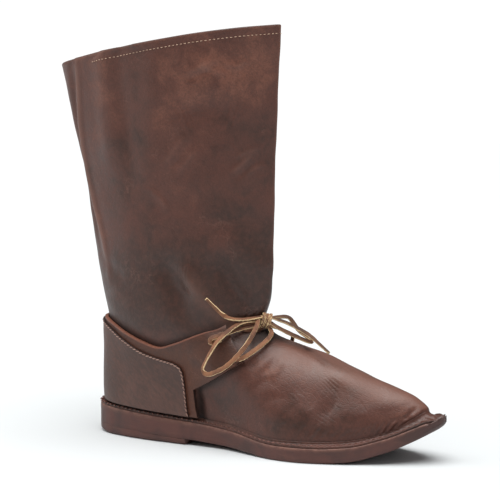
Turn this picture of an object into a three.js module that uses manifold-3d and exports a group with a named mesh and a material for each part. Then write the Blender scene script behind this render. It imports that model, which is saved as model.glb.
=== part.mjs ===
// A saxon boot for the right foot: a loose leather leg and foot turned out and sewn to a thick sole,
// held at the ankle by a heavy leather strap that wraps the heel and is laced across the instep.
// Millimetres, +Z up, +X towards the toe, -Y the outer side. The origin is on the floor under the heel.
import * as THREE from "three";
import Module from "manifold-3d";
import { mergeVertices } from "three/addons/utils/BufferGeometryUtils.js";

const wasm = await Module();
wasm.setup();

// Sole sizes
const soleLength = 305;
const heelSetback = 39.5; // from the origin back to the end of the sole
const ballWidth = 95;
const heelWidth = 66;
const soleThickness = 11.5; // at the ball
const seatThickness = 16; // of the sole over the heel lift
const heelLift = 8.5; // the lift's height at its back
const breastLift = 4.5; // and at its breast
const breastPlace = 60; // from the origin forward to the breast
const heelRound = 2; // how far the back edge of the heel is worn up
const toeSpring = 29; // the tip's height over the floor
const toeSwing = 11; // how far the toe leans to the inner side
const archCut = 7; // how far the waist is cut in on the inner side
const soleEdgeRound = 1.6;

// Upper sizes
const wall = 2.2; // leather of the leg and foot
const flangeThickness = 2; // the edge that is turned out and sewn to the sole
const flangeInset = 0.6; // of the flange from the sole's edge
const heelMargin = 10.5; // from the sole's back end to the heel of the upper
const toeMargin = 14; // from the toe of the upper to the sole's tip
const flangeShow = 4; // how much of the turned out edge shows beside the ball
const instepHeight = 82; // over the sole, at the ankle fold
const legHeight = 334; // over the floor, at the front of the collar
const collarDrop = 27; // how much lower the collar is at the back
const collarLength = 205; // front to back
const collarWidth = 90; // side to side
const collarForward = 128.5; // from the origin to the front of the collar
const ankleLength = 144; // front to back at the fold
const ankleWidth = 76;
const ankleForward = 111.5; // from the origin to the ankle fold
const seamWidth = 3.6; // both plies of the back seam
const seamDepth = 4; // how far its edges stand out at the collar

// Strap, counter and insole sizes
const strapThickness = 2.8;
const strapStandOff = 1.8; // more gap between strap and leg along the strap's upper edge
const counterThickness = 1.6;
const insoleThickness = 3;
const gap = 0.3; // between pieces that meet on a curve

// Lace sizes
const laceThickness = 2.6;
const knotThickness = 3.4;
const laceHole = 5;
const laceSides = 8;
const holeSides = 12;
const laceStep = 2.2; // thicknesses between rings
const knotStep = 0.5;

const leather = new THREE.MeshStandardMaterial({ color: 0x54352d, roughness: 0.5, metalness: 0 });
const strapLeather = new THREE.MeshStandardMaterial({ color: 0x5a3a32, roughness: 0.6, metalness: 0 });
const soleRubber = new THREE.MeshStandardMaterial({ color: 0x552f2c, roughness: 0.7, metalness: 0 });
const insoleLeather = new THREE.MeshStandardMaterial({ color: 0x9a6d49, roughness: 0.8, metalness: 0 });
const thongLeather = new THREE.MeshStandardMaterial({ color: 0xb08350, roughness: 0.8, metalness: 0 });

const lerp = THREE.MathUtils.lerp;
const smoothstep = THREE.MathUtils.smoothstep;

// A curve through the values at the given places that never overshoots them.
function curveThrough(places, values) {
  const steps = places.slice(1).map((p, i) => p - places[i]);
  const slopes = steps.map((h, i) => (values[i + 1] - values[i]) / h);
  const tangents = values.map((_, i) => {
    if (i === 0) return slopes[0];
    if (i === values.length - 1) return slopes[i - 1];
    const [before, after] = [slopes[i - 1], slopes[i]];
    return before * after <= 0 ? 0 : (2 * before * after) / (before + after);
  });
  return (place) => {
    let i = 0;
    while (i < steps.length - 1 && place > places[i + 1]) i++;
    const t = THREE.MathUtils.clamp((place - places[i]) / steps[i], 0, 1);
    const [a, b, h] = [values[i], values[i + 1], steps[i]];
    return (
      a * (1 + 2 * t) * (1 - t) ** 2 +
      b * t * t * (3 - 2 * t) +
      h * tangents[i] * t * (1 - t) ** 2 -
      h * tangents[i + 1] * t * t * (1 - t)
    );
  };
}

const soleBack = -heelSetback;
const soleTip = soleBack + soleLength;
const breastShare = (breastPlace - soleBack) / soleLength;

// The sole along its length: the height of its underside and its thickness.
const soleProfile = [
  { share: 0, under: heelLift, thick: seatThickness },
  { share: breastShare, under: breastLift, thick: lerp(seatThickness, soleThickness, 0.25) },
  { share: 0.47, under: breastLift * 0.55, thick: lerp(seatThickness, soleThickness, 0.55) },
  { share: 0.61, under: 0, thick: soleThickness },
  { share: 0.71, under: 0, thick: soleThickness },
  { share: 0.79, under: toeSpring * 0.05, thick: soleThickness },
  { share: 0.87, under: toeSpring * 0.28, thick: soleThickness * 0.96 },
  { share: 0.94, under: toeSpring * 0.62, thick: soleThickness * 0.88 },
  { share: 1, under: toeSpring, thick: soleThickness * 0.78 },
];
const profileShares = soleProfile.map((row) => row.share);
const underCurve = curveThrough(profileShares, soleProfile.map((row) => row.under));
const thickCurve = curveThrough(profileShares, soleProfile.map((row) => row.thick));
const soleUnder = (x) => underCurve((x - soleBack) / soleLength);
const soleTop = (x) => soleUnder(x) + thickCurve((x - soleBack) / soleLength);

// Places along an outline, as shares of its length, where its breadth is given. A breadth is that of
// the oval which passes through the outline there, so an oval has the same breadth all along.
const stations = [0, 0.14, 0.42, 0.68, 0.88, 1];
const stationNames = ["tail", "heel", "waist", "ball", "toe", "tip"];

// The sole's outline, as shares of half its width at the ball.
const heelShare = heelWidth / ballWidth;
const soleOutline = {
  back: soleBack,
  front: soleTip,
  tail: heelShare * 1.93,
  heel: heelShare * 1.4,
  waist: 0.72,
  ball: 1.07,
  toe: 0.92,
  tip: 0.74,
  swing: 1,
  arch: 1,
};

// The upper's sections over the foot: where each starts and ends along the foot's length, how high it is
// over the sole there as shares of the instep's height, and its breadths as shares of half the foot's
// width over the ball.
const footRows = [
  {
    back: 0, front: 1, backRise: 0, frontRise: 0, swing: 1, arch: 1,
    tail: 1.4, heel: 0.99, waist: 0.7, ball: 1.08, toe: 0.93, tip: 0.8,
  },
  {
    back: -0.004, front: 1, backRise: 0.1, frontRise: 0.1, swing: 1, arch: 0.85,
    tail: 1.39, heel: 0.99, waist: 0.72, ball: 1.08, toe: 0.95, tip: 0.86,
  },
  {
    back: -0.006, front: 0.966, backRise: 0.22, frontRise: 0.27, swing: 0.92, arch: 0.7,
    tail: 1.36, heel: 0.97, waist: 0.74, ball: 1.07, toe: 0.97, tip: 0.88,
  },
  {
    back: -0.006, front: 0.9, backRise: 0.34, frontRise: 0.45, swing: 0.75, arch: 0.5,
    tail: 1.3, heel: 0.94, waist: 0.76, ball: 1.02, toe: 0.95, tip: 0.86,
  },
  {
    back: -0.005, front: 0.82, backRise: 0.46, frontRise: 0.62, swing: 0.5, arch: 0.3,
    tail: 1.24, heel: 0.91, waist: 0.78, ball: 0.95, toe: 0.9, tip: 0.82,
  },
  {
    back: -0.003, front: 0.73, backRise: 0.6, frontRise: 0.755, swing: 0.3, arch: 0.1,
    tail: 1.16, heel: 0.89, waist: 0.81, ball: 0.88, toe: 0.84, tip: 0.76,
  },
  {
    back: -0.002, front: 0.635, backRise: 0.74, frontRise: 0.86, swing: 0.1, arch: 0,
    tail: 1.08, heel: 0.88, waist: 0.83, ball: 0.84, toe: 0.76, tip: 0.68,
  },
  {
    back: 0, front: 0.545, backRise: 0.88, frontRise: 0.935, swing: 0, arch: 0,
    tail: 1, heel: 0.87, waist: 0.85, ball: 0.83, toe: 0.72, tip: 0.6,
  },
];

// The upper's sections from the ankle fold to the collar: heights as shares of the way up the leg, places
// as shares of the way from the ankle's to the collar's, and breadths as shares of half the width there.
const legRows = [
  {
    up: 0, frontWay: 0, backWay: 0, girth: 0,
    tail: 1.05, heel: 1.04, waist: 1.06, ball: 1.03, toe: 0.86, tip: 0.7,
  },
  {
    up: 0.04, frontWay: 0.28, backWay: 0.06, girth: 0.02,
    tail: 1.05, heel: 1.03, waist: 1.06, ball: 1.03, toe: 0.88, tip: 0.62,
  },
  {
    up: 0.1, frontWay: 0.52, backWay: 0.12, girth: 0.1,
    tail: 1.06, heel: 1.02, waist: 1.05, ball: 1.02, toe: 0.88, tip: 0.54,
  },
  {
    up: 0.2, frontWay: 0.61, backWay: 0.22, girth: 0.25,
    tail: 1.07, heel: 1, waist: 1.04, ball: 1.02, toe: 0.88, tip: 0.5,
  },
  {
    up: 0.45, frontWay: 0.69, backWay: 0.4, girth: 0.5,
    tail: 1.1, heel: 0.99, waist: 1.03, ball: 1.02, toe: 0.88, tip: 0.48,
  },
  {
    up: 0.75, frontWay: 0.84, backWay: 0.71, girth: 0.8,
    tail: 1.13, heel: 0.98, waist: 1.02, ball: 1.02, toe: 0.88, tip: 0.46,
  },
  {
    up: 1, frontWay: 1, backWay: 1, girth: 1,
    tail: 1.15, heel: 0.98, waist: 1.02, ball: 1.02, toe: 0.88, tip: 0.44,
  },
];

const footBack = soleBack + heelMargin;
const footFront = soleTip - toeMargin;
const footLength = footFront - footBack;
const ankleBack = ankleForward - ankleLength;
const collarBack = collarForward - collarLength;
const foldHeight = instepHeight + soleTop(ankleForward);
const ankleBackHeight = instepHeight + soleTop(footBack);
const collarBackHeight = legHeight - collarDrop;

const sections = [
  ...footRows.map((row) => ({
    ...row,
    back: footBack + row.back * footLength,
    front: footBack + row.front * footLength,
    backRise: row.backRise * instepHeight,
    frontRise: row.frontRise * instepHeight,
    half: ballWidth / 2 - flangeShow,
    rest: 1,
  })),
  ...legRows.map((row) => ({
    ...row,
    back: lerp(ankleBack, collarBack, row.backWay),
    front: lerp(ankleForward, collarForward, row.frontWay),
    backRise: lerp(ankleBackHeight, collarBackHeight, row.up),
    frontRise: lerp(foldHeight, legHeight, row.up),
    half: lerp(ankleWidth, collarWidth, row.girth) / 2,
    swing: 0,
    arch: 0,
    rest: 0,
  })),
];
const lastSection = sections.length - 1;
const placeFields = ["back", "front", "backRise", "frontRise", "half", "rest", "swing", "arch"];
const sectionFields = [...placeFields, ...stationNames];
const sectionPlaces = sections.map((_, i) => i);
const fieldCurves = Object.fromEntries(
  sectionFields.map((name) => [name, curveThrough(sectionPlaces, sections.map((row) => row[name]))]),
);
const sectionAt = (level) =>
  Object.fromEntries(sectionFields.map((name) => [name, fieldCurves[name](level)]));

// Where along an outline the waist is cut in most, and how far to each side of it.
const archPlace = 0.42;
const archReach = 0.15;

// A point of an outline in plan. turn runs from 0 at the back, round the outer side, to 1.
function outlinePoint(outline, half, turn) {
  const angle = turn * 2 * Math.PI;
  const share = (1 - Math.cos(angle)) / 2;
  const breadth = half * curveThrough(stations, stationNames.map((name) => outline[name]))(share);
  const side = -Math.sin(angle);
  const fromWaist = (share - archPlace) / archReach;
  const waistCut = side > 0 ? archCut * outline.arch * Math.exp(-(fromWaist ** 2)) : 0;
  const middle = toeSwing * outline.swing * smoothstep(share, 0.5, 1) * Math.min(1, share);
  const x = lerp(outline.back, outline.front, share);
  return { x, y: middle + side * (breadth - waistCut), share };
}

// The outer face of the upper. level runs from 0 at the sole to lastSection at the collar.
function upperFace(turn, level) {
  const section = sectionAt(level);
  const { x, y, share } = outlinePoint(section, section.half, turn);
  const rise = lerp(section.backRise, section.frontRise, share);
  return new THREE.Vector3(x, y, rise + section.rest * soleTop(x));
}

function upperNormal(turn, level) {
  const step = 1e-3;
  const across = upperFace(turn + step, level).sub(upperFace(turn - step, level));
  const low = Math.max(0, level - step * 20);
  const high = Math.min(lastSection, level + step * 20);
  const along = upperFace(turn, high).sub(upperFace(turn, low));
  return across.cross(along).normalize();
}

// The upper's outer face moved out by a distance.
const upperAt = (turn, level, out) => upperFace(turn, level).addScaledVector(upperNormal(turn, level), out);

const columns = 56;
const turns = Array.from({ length: columns }, (_, i) => i / columns);

// The two triangles of each place between one ring of points and the next, split the shorter way.
function bandBetween(rings, lower, upper) {
  const count = rings[lower].length;
  return rings[lower].flatMap((_, c) => {
    const d = (c + 1) % count;
    const [p, q, s, t] = [lower * count + c, lower * count + d, upper * count + c, upper * count + d];
    const rising = rings[lower][c].distanceTo(rings[upper][d]);
    const falling = rings[lower][d].distanceTo(rings[upper][c]);
    return rising < falling ? [p, q, t, p, t, s] : [p, q, s, q, t, s];
  });
}

// A closed mesh from rings of points. Each ring joins the next, and the last joins the first.
function closedBand(rings) {
  const positions = rings.flat().flatMap((p) => [p.x, p.y, p.z]);
  const index = rings.flatMap((_, r) => bandBetween(rings, r, (r + 1) % rings.length));
  return geometryOf(positions, index);
}

// A closed mesh from rings of points whose first and last rings are closed by strips across them.
function cappedBand(rings) {
  const count = rings[0].length;
  const positions = rings.flat().flatMap((p) => [p.x, p.y, p.z]);
  const index = rings.slice(1).flatMap((_, r) => bandBetween(rings, r, r + 1));
  const last = (rings.length - 1) * count;
  for (let c = 0; c < count / 2; c++) {
    const [a, b] = [c, c + 1];
    const [e, f] = [(count - c) % count, count - c - 1];
    if (e !== a) index.push(a, e, b);
    if (b !== f) index.push(b, e, f);
    if (e !== a) index.push(last + a, last + b, last + e);
    if (b !== f) index.push(last + b, last + f, last + e);
  }
  return geometryOf(positions, index);
}

function geometryOf(positions, index) {
  const geometry = new THREE.BufferGeometry();
  geometry.setAttribute("position", new THREE.Float32BufferAttribute(positions, 3));
  geometry.setIndex(index);
  return geometry;
}

function solidOf(geometry) {
  const bare = geometry.clone();
  bare.deleteAttribute("normal");
  bare.deleteAttribute("uv");
  const merged = mergeVertices(bare, 1e-3);
  return new wasm.Manifold(
    new wasm.Mesh({
      numProp: 3,
      vertProperties: merged.attributes.position.array,
      triVerts: new Uint32Array(merged.index.array),
    }),
  );
}

function geometryFrom(solid) {
  const mesh = solid.getMesh();
  return geometryOf(Array.from(mesh.vertProperties), Array.from(mesh.triVerts));
}

function named(name, geometry, material) {
  const mesh = new THREE.Mesh(geometry, material);
  mesh.name = name;
  return mesh;
}

// A place given as shares of the sole's length and the instep's height, and of the ball's width to a side.
const placed = ({ along, rise, side = 0 }) => ({
  forward: soleBack + along * soleLength,
  across: side * ballWidth,
  up: rise * instepHeight,
});

// A flat outline drawn in side view as a solid right across the boot.
function sideCut(points, halfWidth = ballWidth) {
  const shape = new THREE.Shape(points.map((p) => new THREE.Vector2(p.forward, p.up)));
  const geometry = new THREE.ExtrudeGeometry(shape, { depth: 2 * halfWidth, bevelEnabled: false });
  geometry.rotateX(Math.PI / 2);
  geometry.translate(0, halfWidth, 0);
  return solidOf(geometry);
}

const ringAtHeight = (outline, half, heightAt, inset) =>
  turns.map((turn) => {
    const step = 1e-3;
    const p = outlinePoint(outline, half, turn);
    const [a, b] = [outlinePoint(outline, half, turn - step), outlinePoint(outline, half, turn + step)];
    const out = new THREE.Vector2(-(b.y - a.y), b.x - a.x).normalize();
    const [x, y] = [p.x + out.x * inset, p.y + out.y * inset];
    return new THREE.Vector3(x, y, heightAt(x));
  });

// The sole: one thick piece with its edge a little rounded.
function outsole() {
  const half = ballWidth / 2;
  const ring = (heightAt, inset) => ringAtHeight(soleOutline, half, heightAt, inset);
  const geometry = cappedBand([
    ring(soleUnder, soleEdgeRound * 1.6),
    ring((x) => soleUnder(x) + soleEdgeRound, soleEdgeRound * 0.4),
    ring((x) => lerp(soleUnder(x), soleTop(x), 0.6), 0),
    ring((x) => soleTop(x) - soleEdgeRound * 0.6, 0),
    ring(soleTop, soleEdgeRound * 0.6),
  ]);
  return named("outsole", geometry, soleRubber);
}

// The heel lift under the back of the sole, cut square at its breast and worn up at its back edge.
function heel() {
  const half = ballWidth / 2;
  const ring = (heightAt, inset) => ringAtHeight(soleOutline, half, heightAt, inset);
  const worn = (x) => heelRound * smoothstep(-x, heelSetback * 0.25, heelSetback) ** 2;
  const body = solidOf(
    cappedBand([
      ring(worn, soleEdgeRound * 2),
      ring((x) => worn(x) + soleEdgeRound, soleEdgeRound * 0.8),
      ring((x) => soleUnder(x) - gap, 0),
    ]),
  );
  const top = heelLift + seatThickness;
  const keep = sideCut([
    { forward: soleBack - heelMargin, up: -top },
    { forward: breastPlace, up: -top },
    { forward: breastPlace, up: top },
    { forward: soleBack - heelMargin, up: top },
  ]);
  return named("heel_lift", geometryFrom(body.intersect(keep)), soleRubber);
}

// Levels at which the upper is meshed, closer together below the plain part of the leg.
// Below the first of them the wall stands on the sole.
const footingLevel = 0.5;
const plainLevel = footRows.length + 3;
const meshLevels = Array.from({ length: 2 * lastSection }, (_, i) => footingLevel + i / 2).filter(
  (level) => level <= plainLevel || Number.isInteger(level),
);

const seat = (x) => soleTop(x) + gap;
const flangeTop = (x) => seat(x) + flangeThickness;
const levelRing = (level, outAt) =>
  turns.map((turn) => upperAt(turn, level, outAt(upperFace(turn, level).z)));

// The ring where the wall, or what goes round it, stands at a height over the sole.
function footingRing(out, heightAt) {
  return turns.map((turn) => {
    const p = upperAt(turn, footingLevel / 2, out);
    return new THREE.Vector3(p.x, p.y, heightAt(p.x));
  });
}

// The raised back seam: how far its edges stand out, as shares of their depth at the collar.
const seamRows = [
  { level: lastSection, stand: 1 },
  { level: lastSection - 1, stand: 0.9 },
  { level: lastSection - 2, stand: 0.62 },
  { level: lastSection - 3, stand: 0.4 },
  { level: lastSection - 4, stand: 0.28 },
  { level: lastSection - 5, stand: 0.2 },
];

function backSeam() {
  const sink = wall * 0.5;
  const rings = seamRows.toReversed().map((row) => {
    const p = upperFace(0, row.level);
    const out = seamDepth * row.stand;
    const half = seamWidth / 2;
    return [
      new THREE.Vector3(p.x + sink, p.y + half, p.z),
      new THREE.Vector3(p.x - out * 0.8, p.y + half, p.z),
      new THREE.Vector3(p.x - out, p.y + half * 0.6, p.z),
      new THREE.Vector3(p.x - out, p.y - half * 0.6, p.z),
      new THREE.Vector3(p.x - out * 0.8, p.y - half, p.z),
      new THREE.Vector3(p.x + sink, p.y - half, p.z),
    ];
  });
  return solidOf(cappedBand(rings));
}

// The upper: leg and foot in one wall with a back seam, its lower edge turned out over the sole.
function upper() {
  const half = ballWidth / 2;
  const body = solidOf(
    closedBand([
      ringAtHeight(soleOutline, half, seat, flangeInset),
      ringAtHeight(soleOutline, half, flangeTop, flangeInset),
      footingRing(0, flangeTop),
      ...meshLevels.map((level) => levelRing(level, () => 0)),
      ...meshLevels.toReversed().map((level) => levelRing(level, () => -wall)),
      footingRing(-wall, seat),
    ]),
  );
  return named("upper", geometryFrom(body.add(backSeam())), leather);
}

// The insole lies on the sole inside the wall.
function insole() {
  const inside = -wall - 2 * gap;
  const geometry = cappedBand([
    footingRing(inside, seat),
    footingRing(inside, (x) => seat(x) + insoleThickness),
  ]);
  return named("insole", geometry, insoleLeather);
}

const strapTopLevel = footRows.length + 2;
const wingLevel = footRows.length - 2;
const strapLevels = meshLevels
  .filter((level) => level <= strapTopLevel)
  .filter((level) => level >= wingLevel || level === footingLevel || Number.isInteger(level));

// The space under the strap widens towards its upper edge, between these shares of the instep's height.
const standOffFrom = 0.7;
const standOffTo = 1.35;
const standOff = (height) =>
  strapStandOff * smoothstep(height, instepHeight * standOffFrom, instepHeight * standOffTo);

// A larger form of the upper, moved out by a distance, that stands over its turned out edge.
function largerForm(out, over) {
  return solidOf(
    cappedBand([
      footingRing(out, (x) => flangeTop(x) + over),
      ...strapLevels.map((level) => levelRing(level, (height) => out + standOff(height))),
    ]),
  );
}

const strapInside = gap;
const strapOutside = strapInside + strapThickness;
const counterInside = strapOutside + gap;
const counterOutside = counterInside + counterThickness;

// The strap's edge in side view.
const strapEdge = [
  { along: -0.0672, rise: 1.3171 },
  { along: 0.0213, rise: 1.2256 },
  { along: 0.0836, rise: 1.1524 },
  { along: 0.1426, rise: 1.0671 },
  { along: 0.1951, rise: 1 },
  { along: 0.2508, rise: 0.9549 },
  { along: 0.3033, rise: 1.0061 },
  { along: 0.3492, rise: 1.0671 },
  { along: 0.4246, rise: 1.1768 },
  { along: 0.4377, rise: 1.1646 },
  { along: 0.5115, rise: 0.9024 },
  { along: 0.5098, rise: 0.8659 },
  { along: 0.4213, rise: 0.689 },
  { along: 0.3557, rise: 0.561 },
  { along: 0.3623, rise: 0 },
  { along: -0.0672, rise: 0 },
];

// The counter's edge in side view.
const counterEdge = [
  { along: -0.0672, rise: 1.2927 },
  { along: 0.0213, rise: 1.1951 },
  { along: 0.0803, rise: 1.1012 },
  { along: 0.1393, rise: 0.9902 },
  { along: 0.2049, rise: 0.8854 },
  { along: 0.2672, rise: 0.8354 },
  { along: 0.3098, rise: 0.8085 },
  { along: 0.3246, rise: 0.7622 },
  { along: 0.3328, rise: 0.5488 },
  { along: 0.3377, rise: 0 },
  { along: -0.0672, rise: 0 },
];

// The lace holes of each wing in side view.
const laceHoles = [
  { along: 0.4377, rise: 1.0488 },
  { along: 0.4934, rise: 0.878 },
];

// The spot on one side of the upper that shows at a place in side view. side is -1 outer, 1 inner.
function spotAt({ forward, up }, side) {
  const turnAt = (share) => (side < 0 ? share : 1 - share);
  const levelAt = (turn) => {
    let [low, high] = [footingLevel, strapTopLevel];
    for (let i = 0; i < 18; i++) {
      const middle = (low + high) / 2;
      if (upperFace(turn, middle).z < up) low = middle;
      else high = middle;
    }
    return low;
  };
  let [near, far] = [0.05, 0.5];
  for (let i = 0; i < 18; i++) {
    const middle = (near + far) / 2;
    if (upperFace(turnAt(middle), levelAt(turnAt(middle))).x < forward) near = middle;
    else far = middle;
  }
  const turn = turnAt(near);
  return { turn, level: levelAt(turn) };
}

// A point over one side of the upper, out from its face.
function pointOver(place, side, out) {
  const { turn, level } = spotAt(place, side);
  return upperAt(turn, level, out);
}

function holeCutter(place, side) {
  const from = pointOver(place, side, -strapThickness);
  const to = pointOver(place, side, strapOutside + 3 * strapThickness);
  const length = from.distanceTo(to);
  const geometry = new THREE.CylinderGeometry(laceHole / 2, laceHole / 2, length, holeSides);
  const along = new THREE.Quaternion().setFromUnitVectors(
    new THREE.Vector3(0, 1, 0),
    to.clone().sub(from).normalize(),
  );
  geometry.applyQuaternion(along);
  geometry.translate((from.x + to.x) / 2, (from.y + to.y) / 2, (from.z + to.z) / 2);
  return solidOf(geometry);
}

// How far a cut piece's faces may move where that leaves out needless triangles.
const cutTolerance = 0.07;

function heelStrap() {
  const form = largerForm(strapOutside, gap).subtract(largerForm(strapInside, 0));
  let strap = form.intersect(sideCut(strapEdge.map(placed)));
  for (const side of [-1, 1]) {
    for (const hole of laceHoles) strap = strap.subtract(holeCutter(placed(hole), side));
  }
  return named("heel_strap", geometryFrom(strap.simplify(cutTolerance)), strapLeather);
}

function heelCounter() {
  const form = largerForm(counterOutside, gap).subtract(largerForm(counterInside, 0));
  const counter = form.intersect(sideCut(counterEdge.map(placed)));
  return named("heel_counter", geometryFrom(counter.simplify(cutTolerance)), strapLeather);
}

// A round thong through places, with flat ends.
function thong(places, thickness = laceThickness, step = laceStep) {
  const points = places.map((p) => new THREE.Vector3(p.forward, p.across, p.up));
  const curve = new THREE.CatmullRomCurve3(points);
  const half = thickness / 2;
  const section = new THREE.Shape(
    Array.from({ length: laceSides }, (_, i) => {
      const angle = (i / laceSides) * 2 * Math.PI;
      return new THREE.Vector2(half * Math.cos(angle), half * Math.sin(angle));
    }),
  );
  const steps = Math.ceil(curve.getLength() / (step * thickness));
  return new THREE.ExtrudeGeometry(section, { steps, extrudePath: curve, bevelEnabled: false });
}

const mirrored = (places) => places.map((p) => ({ ...p, side: -p.side }));

// From a wing's upper hole to the knot.
const laceTie = [
  { along: 0.4393, side: -0.4253, rise: 1.0768 },
  { along: 0.4508, side: -0.3821, rise: 1.1317 },
  { along: 0.4803, side: -0.2053, rise: 1.1756 },
  { along: 0.5033, side: -0.0842, rise: 1.189 },
  { along: 0.5164, side: 0, rise: 1.178 },
];

// From a wing's lower hole across the instep to the knot.
const laceCrossing = [
  { along: 0.4984, side: -0.4463, rise: 0.9195 },
  { along: 0.5213, side: -0.3895, rise: 0.9488 },
  { along: 0.5459, side: -0.2632, rise: 1.0488 },
  { along: 0.5459, side: -0.1158, rise: 1.1244 },
  { along: 0.5164, side: 0, rise: 1.178 },
];

function laceBars() {
  const runs = [laceTie, mirrored(laceTie), laceCrossing, mirrored(laceCrossing)];
  const bars = runs.map((run) => solidOf(thong(run.map(placed)))).reduce((all, bar) => all.add(bar));
  return named("lace_bars", geometryFrom(bars), thongLeather);
}

// The knot stands on the bars and turns once round itself, from one angle to another.
const knotPlace = placed({ along: 0.518, side: -0.0526, rise: 1.2415 });
const knotRadius = 2.3;
const knotFrom = -60;
const knotTo = 240;
const knotPlaces = 7;
const laceKnot = Array.from({ length: knotPlaces }, (_, i) => {
  const angle = THREE.MathUtils.degToRad(lerp(knotFrom, knotTo, i / (knotPlaces - 1)));
  return {
    forward: knotPlace.forward + knotRadius * Math.cos(angle),
    across: knotPlace.across,
    up: knotPlace.up + knotRadius * Math.sin(angle),
  };
});

// The bow: its outer loop hangs over the wing and its inner loop lies along the foot.
const outerLoop = [
  { along: 0.4951, side: -0.1158, rise: 1.2366 },
  { along: 0.4754, side: -0.2684, rise: 1.2232 },
  { along: 0.4508, side: -0.4474, rise: 1.0976 },
  { along: 0.4328, side: -0.4947, rise: 0.9756 },
  { along: 0.4164, side: -0.5053, rise: 0.8598 },
  { along: 0.4082, side: -0.5, rise: 0.7744 },
  { along: 0.4148, side: -0.5, rise: 0.7256 },
  { along: 0.4344, side: -0.5053, rise: 0.728 },
  { along: 0.477, side: -0.5158, rise: 0.8146 },
  { along: 0.5033, side: -0.4895, rise: 0.9329 },
  { along: 0.5197, side: -0.3684, rise: 1.0671 },
  { along: 0.5164, side: -0.2105, rise: 1.1866 },
  { along: 0.5066, side: -0.1158, rise: 1.2463 },
];

const innerLoop = [
  { along: 0.5308, side: -0.0758, rise: 1.2244 },
  { along: 0.559, side: -0.0526, rise: 1.1707 },
  { along: 0.6213, side: -0.0421, rise: 1.0805 },
  { along: 0.6443, side: -0.0158, rise: 1.0585 },
  { along: 0.6279, side: 0.0263, rise: 1.089 },
  { along: 0.582, side: 0.0263, rise: 1.1561 },
  { along: 0.5348, side: -0.0232, rise: 1.2366 },
];

const outerEnd = [
  { along: 0.5111, side: -0.08, rise: 1.2768 },
  { along: 0.4846, side: -0.2316, rise: 1.2793 },
  { along: 0.4574, side: -0.3421, rise: 1.2927 },
  { along: 0.441, side: -0.3947, rise: 1.3659 },
  { along: 0.4098, side: -0.4474, rise: 1.4756 },
];

const innerEnd = [
  { along: 0.5311, side: -0.0505, rise: 1.2793 },
  { along: 0.5525, side: -0.0368, rise: 1.2512 },
  { along: 0.5852, side: -0.0421, rise: 1.2195 },
  { along: 0.641, side: -0.0526, rise: 1.1366 },
  { along: 0.677, side: -0.0737, rise: 1.0549 },
  { along: 0.7098, side: -0.1053, rise: 0.9817 },
];

const boot = new THREE.Group();
boot.add(outsole(), heel(), insole(), upper(), heelStrap(), heelCounter(), laceBars());
boot.add(named("lace_knot", thong(laceKnot, knotThickness, knotStep), thongLeather));
boot.add(named("lace_loop_outer", thong(outerLoop.map(placed)), thongLeather));
boot.add(named("lace_loop_inner", thong(innerLoop.map(placed)), thongLeather));
boot.add(named("lace_end_outer", thong(outerEnd.map(placed)), thongLeather));
boot.add(named("lace_end_inner", thong(innerEnd.map(placed)), thongLeather));
export default boot;
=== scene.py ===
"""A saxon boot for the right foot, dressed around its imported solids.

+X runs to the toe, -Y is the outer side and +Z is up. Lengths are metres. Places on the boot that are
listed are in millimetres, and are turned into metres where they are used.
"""

import logging
import math
from collections.abc import Callable, Sequence
from dataclasses import dataclass
from enum import Enum
from typing import NamedTuple

import bmesh
import bpy
import numpy as np
from mathutils import Matrix, Vector


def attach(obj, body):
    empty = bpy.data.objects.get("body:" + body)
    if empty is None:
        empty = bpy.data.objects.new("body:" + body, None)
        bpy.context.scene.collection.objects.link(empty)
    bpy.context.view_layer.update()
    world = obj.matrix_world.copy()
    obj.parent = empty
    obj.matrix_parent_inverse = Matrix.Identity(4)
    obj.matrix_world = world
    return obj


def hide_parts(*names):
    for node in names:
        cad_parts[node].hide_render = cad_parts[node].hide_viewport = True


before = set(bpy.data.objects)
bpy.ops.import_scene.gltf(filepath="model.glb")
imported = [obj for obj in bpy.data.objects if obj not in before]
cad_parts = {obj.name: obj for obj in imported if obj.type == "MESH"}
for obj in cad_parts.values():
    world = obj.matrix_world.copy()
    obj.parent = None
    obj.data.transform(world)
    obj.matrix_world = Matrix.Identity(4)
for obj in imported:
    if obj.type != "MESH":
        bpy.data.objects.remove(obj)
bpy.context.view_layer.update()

Value = float | np.ndarray
Height = Callable[[np.ndarray], np.ndarray]
Mesh = bmesh.types.BMesh
Piece = bpy.types.Object
Material = bpy.types.Material
Socket = bpy.types.NodeSocket
Triple = tuple[float, float, float]
Colour = tuple[float, float, float, float]
Way = tuple[Triple, ...]

log = logging.getLogger("boot")
MM = 0.001
BODY = "root"


class Side(Enum):
    """A side of the boot, with the sign of its Y."""

    OUTER = -1
    INNER = 1


class EdgePoint(NamedTuple):
    """A point of the strap or counter in side view, in millimetres."""

    forward: float
    up: float


class FootRow(NamedTuple):
    """A section of the upper over the foot, in shares of the foot's length and the instep's height."""

    back: float
    front: float
    back_rise: float
    front_rise: float
    tail: float
    heel: float
    waist: float
    ball: float
    toe: float
    tip: float
    swing: float
    arch: float


class LegRow(NamedTuple):
    """A section of the upper above the ankle, in shares of the way from the ankle to the collar."""

    up: float
    front_way: float
    back_way: float
    girth: float
    tail: float
    heel: float
    waist: float
    ball: float
    toe: float
    tip: float


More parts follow.
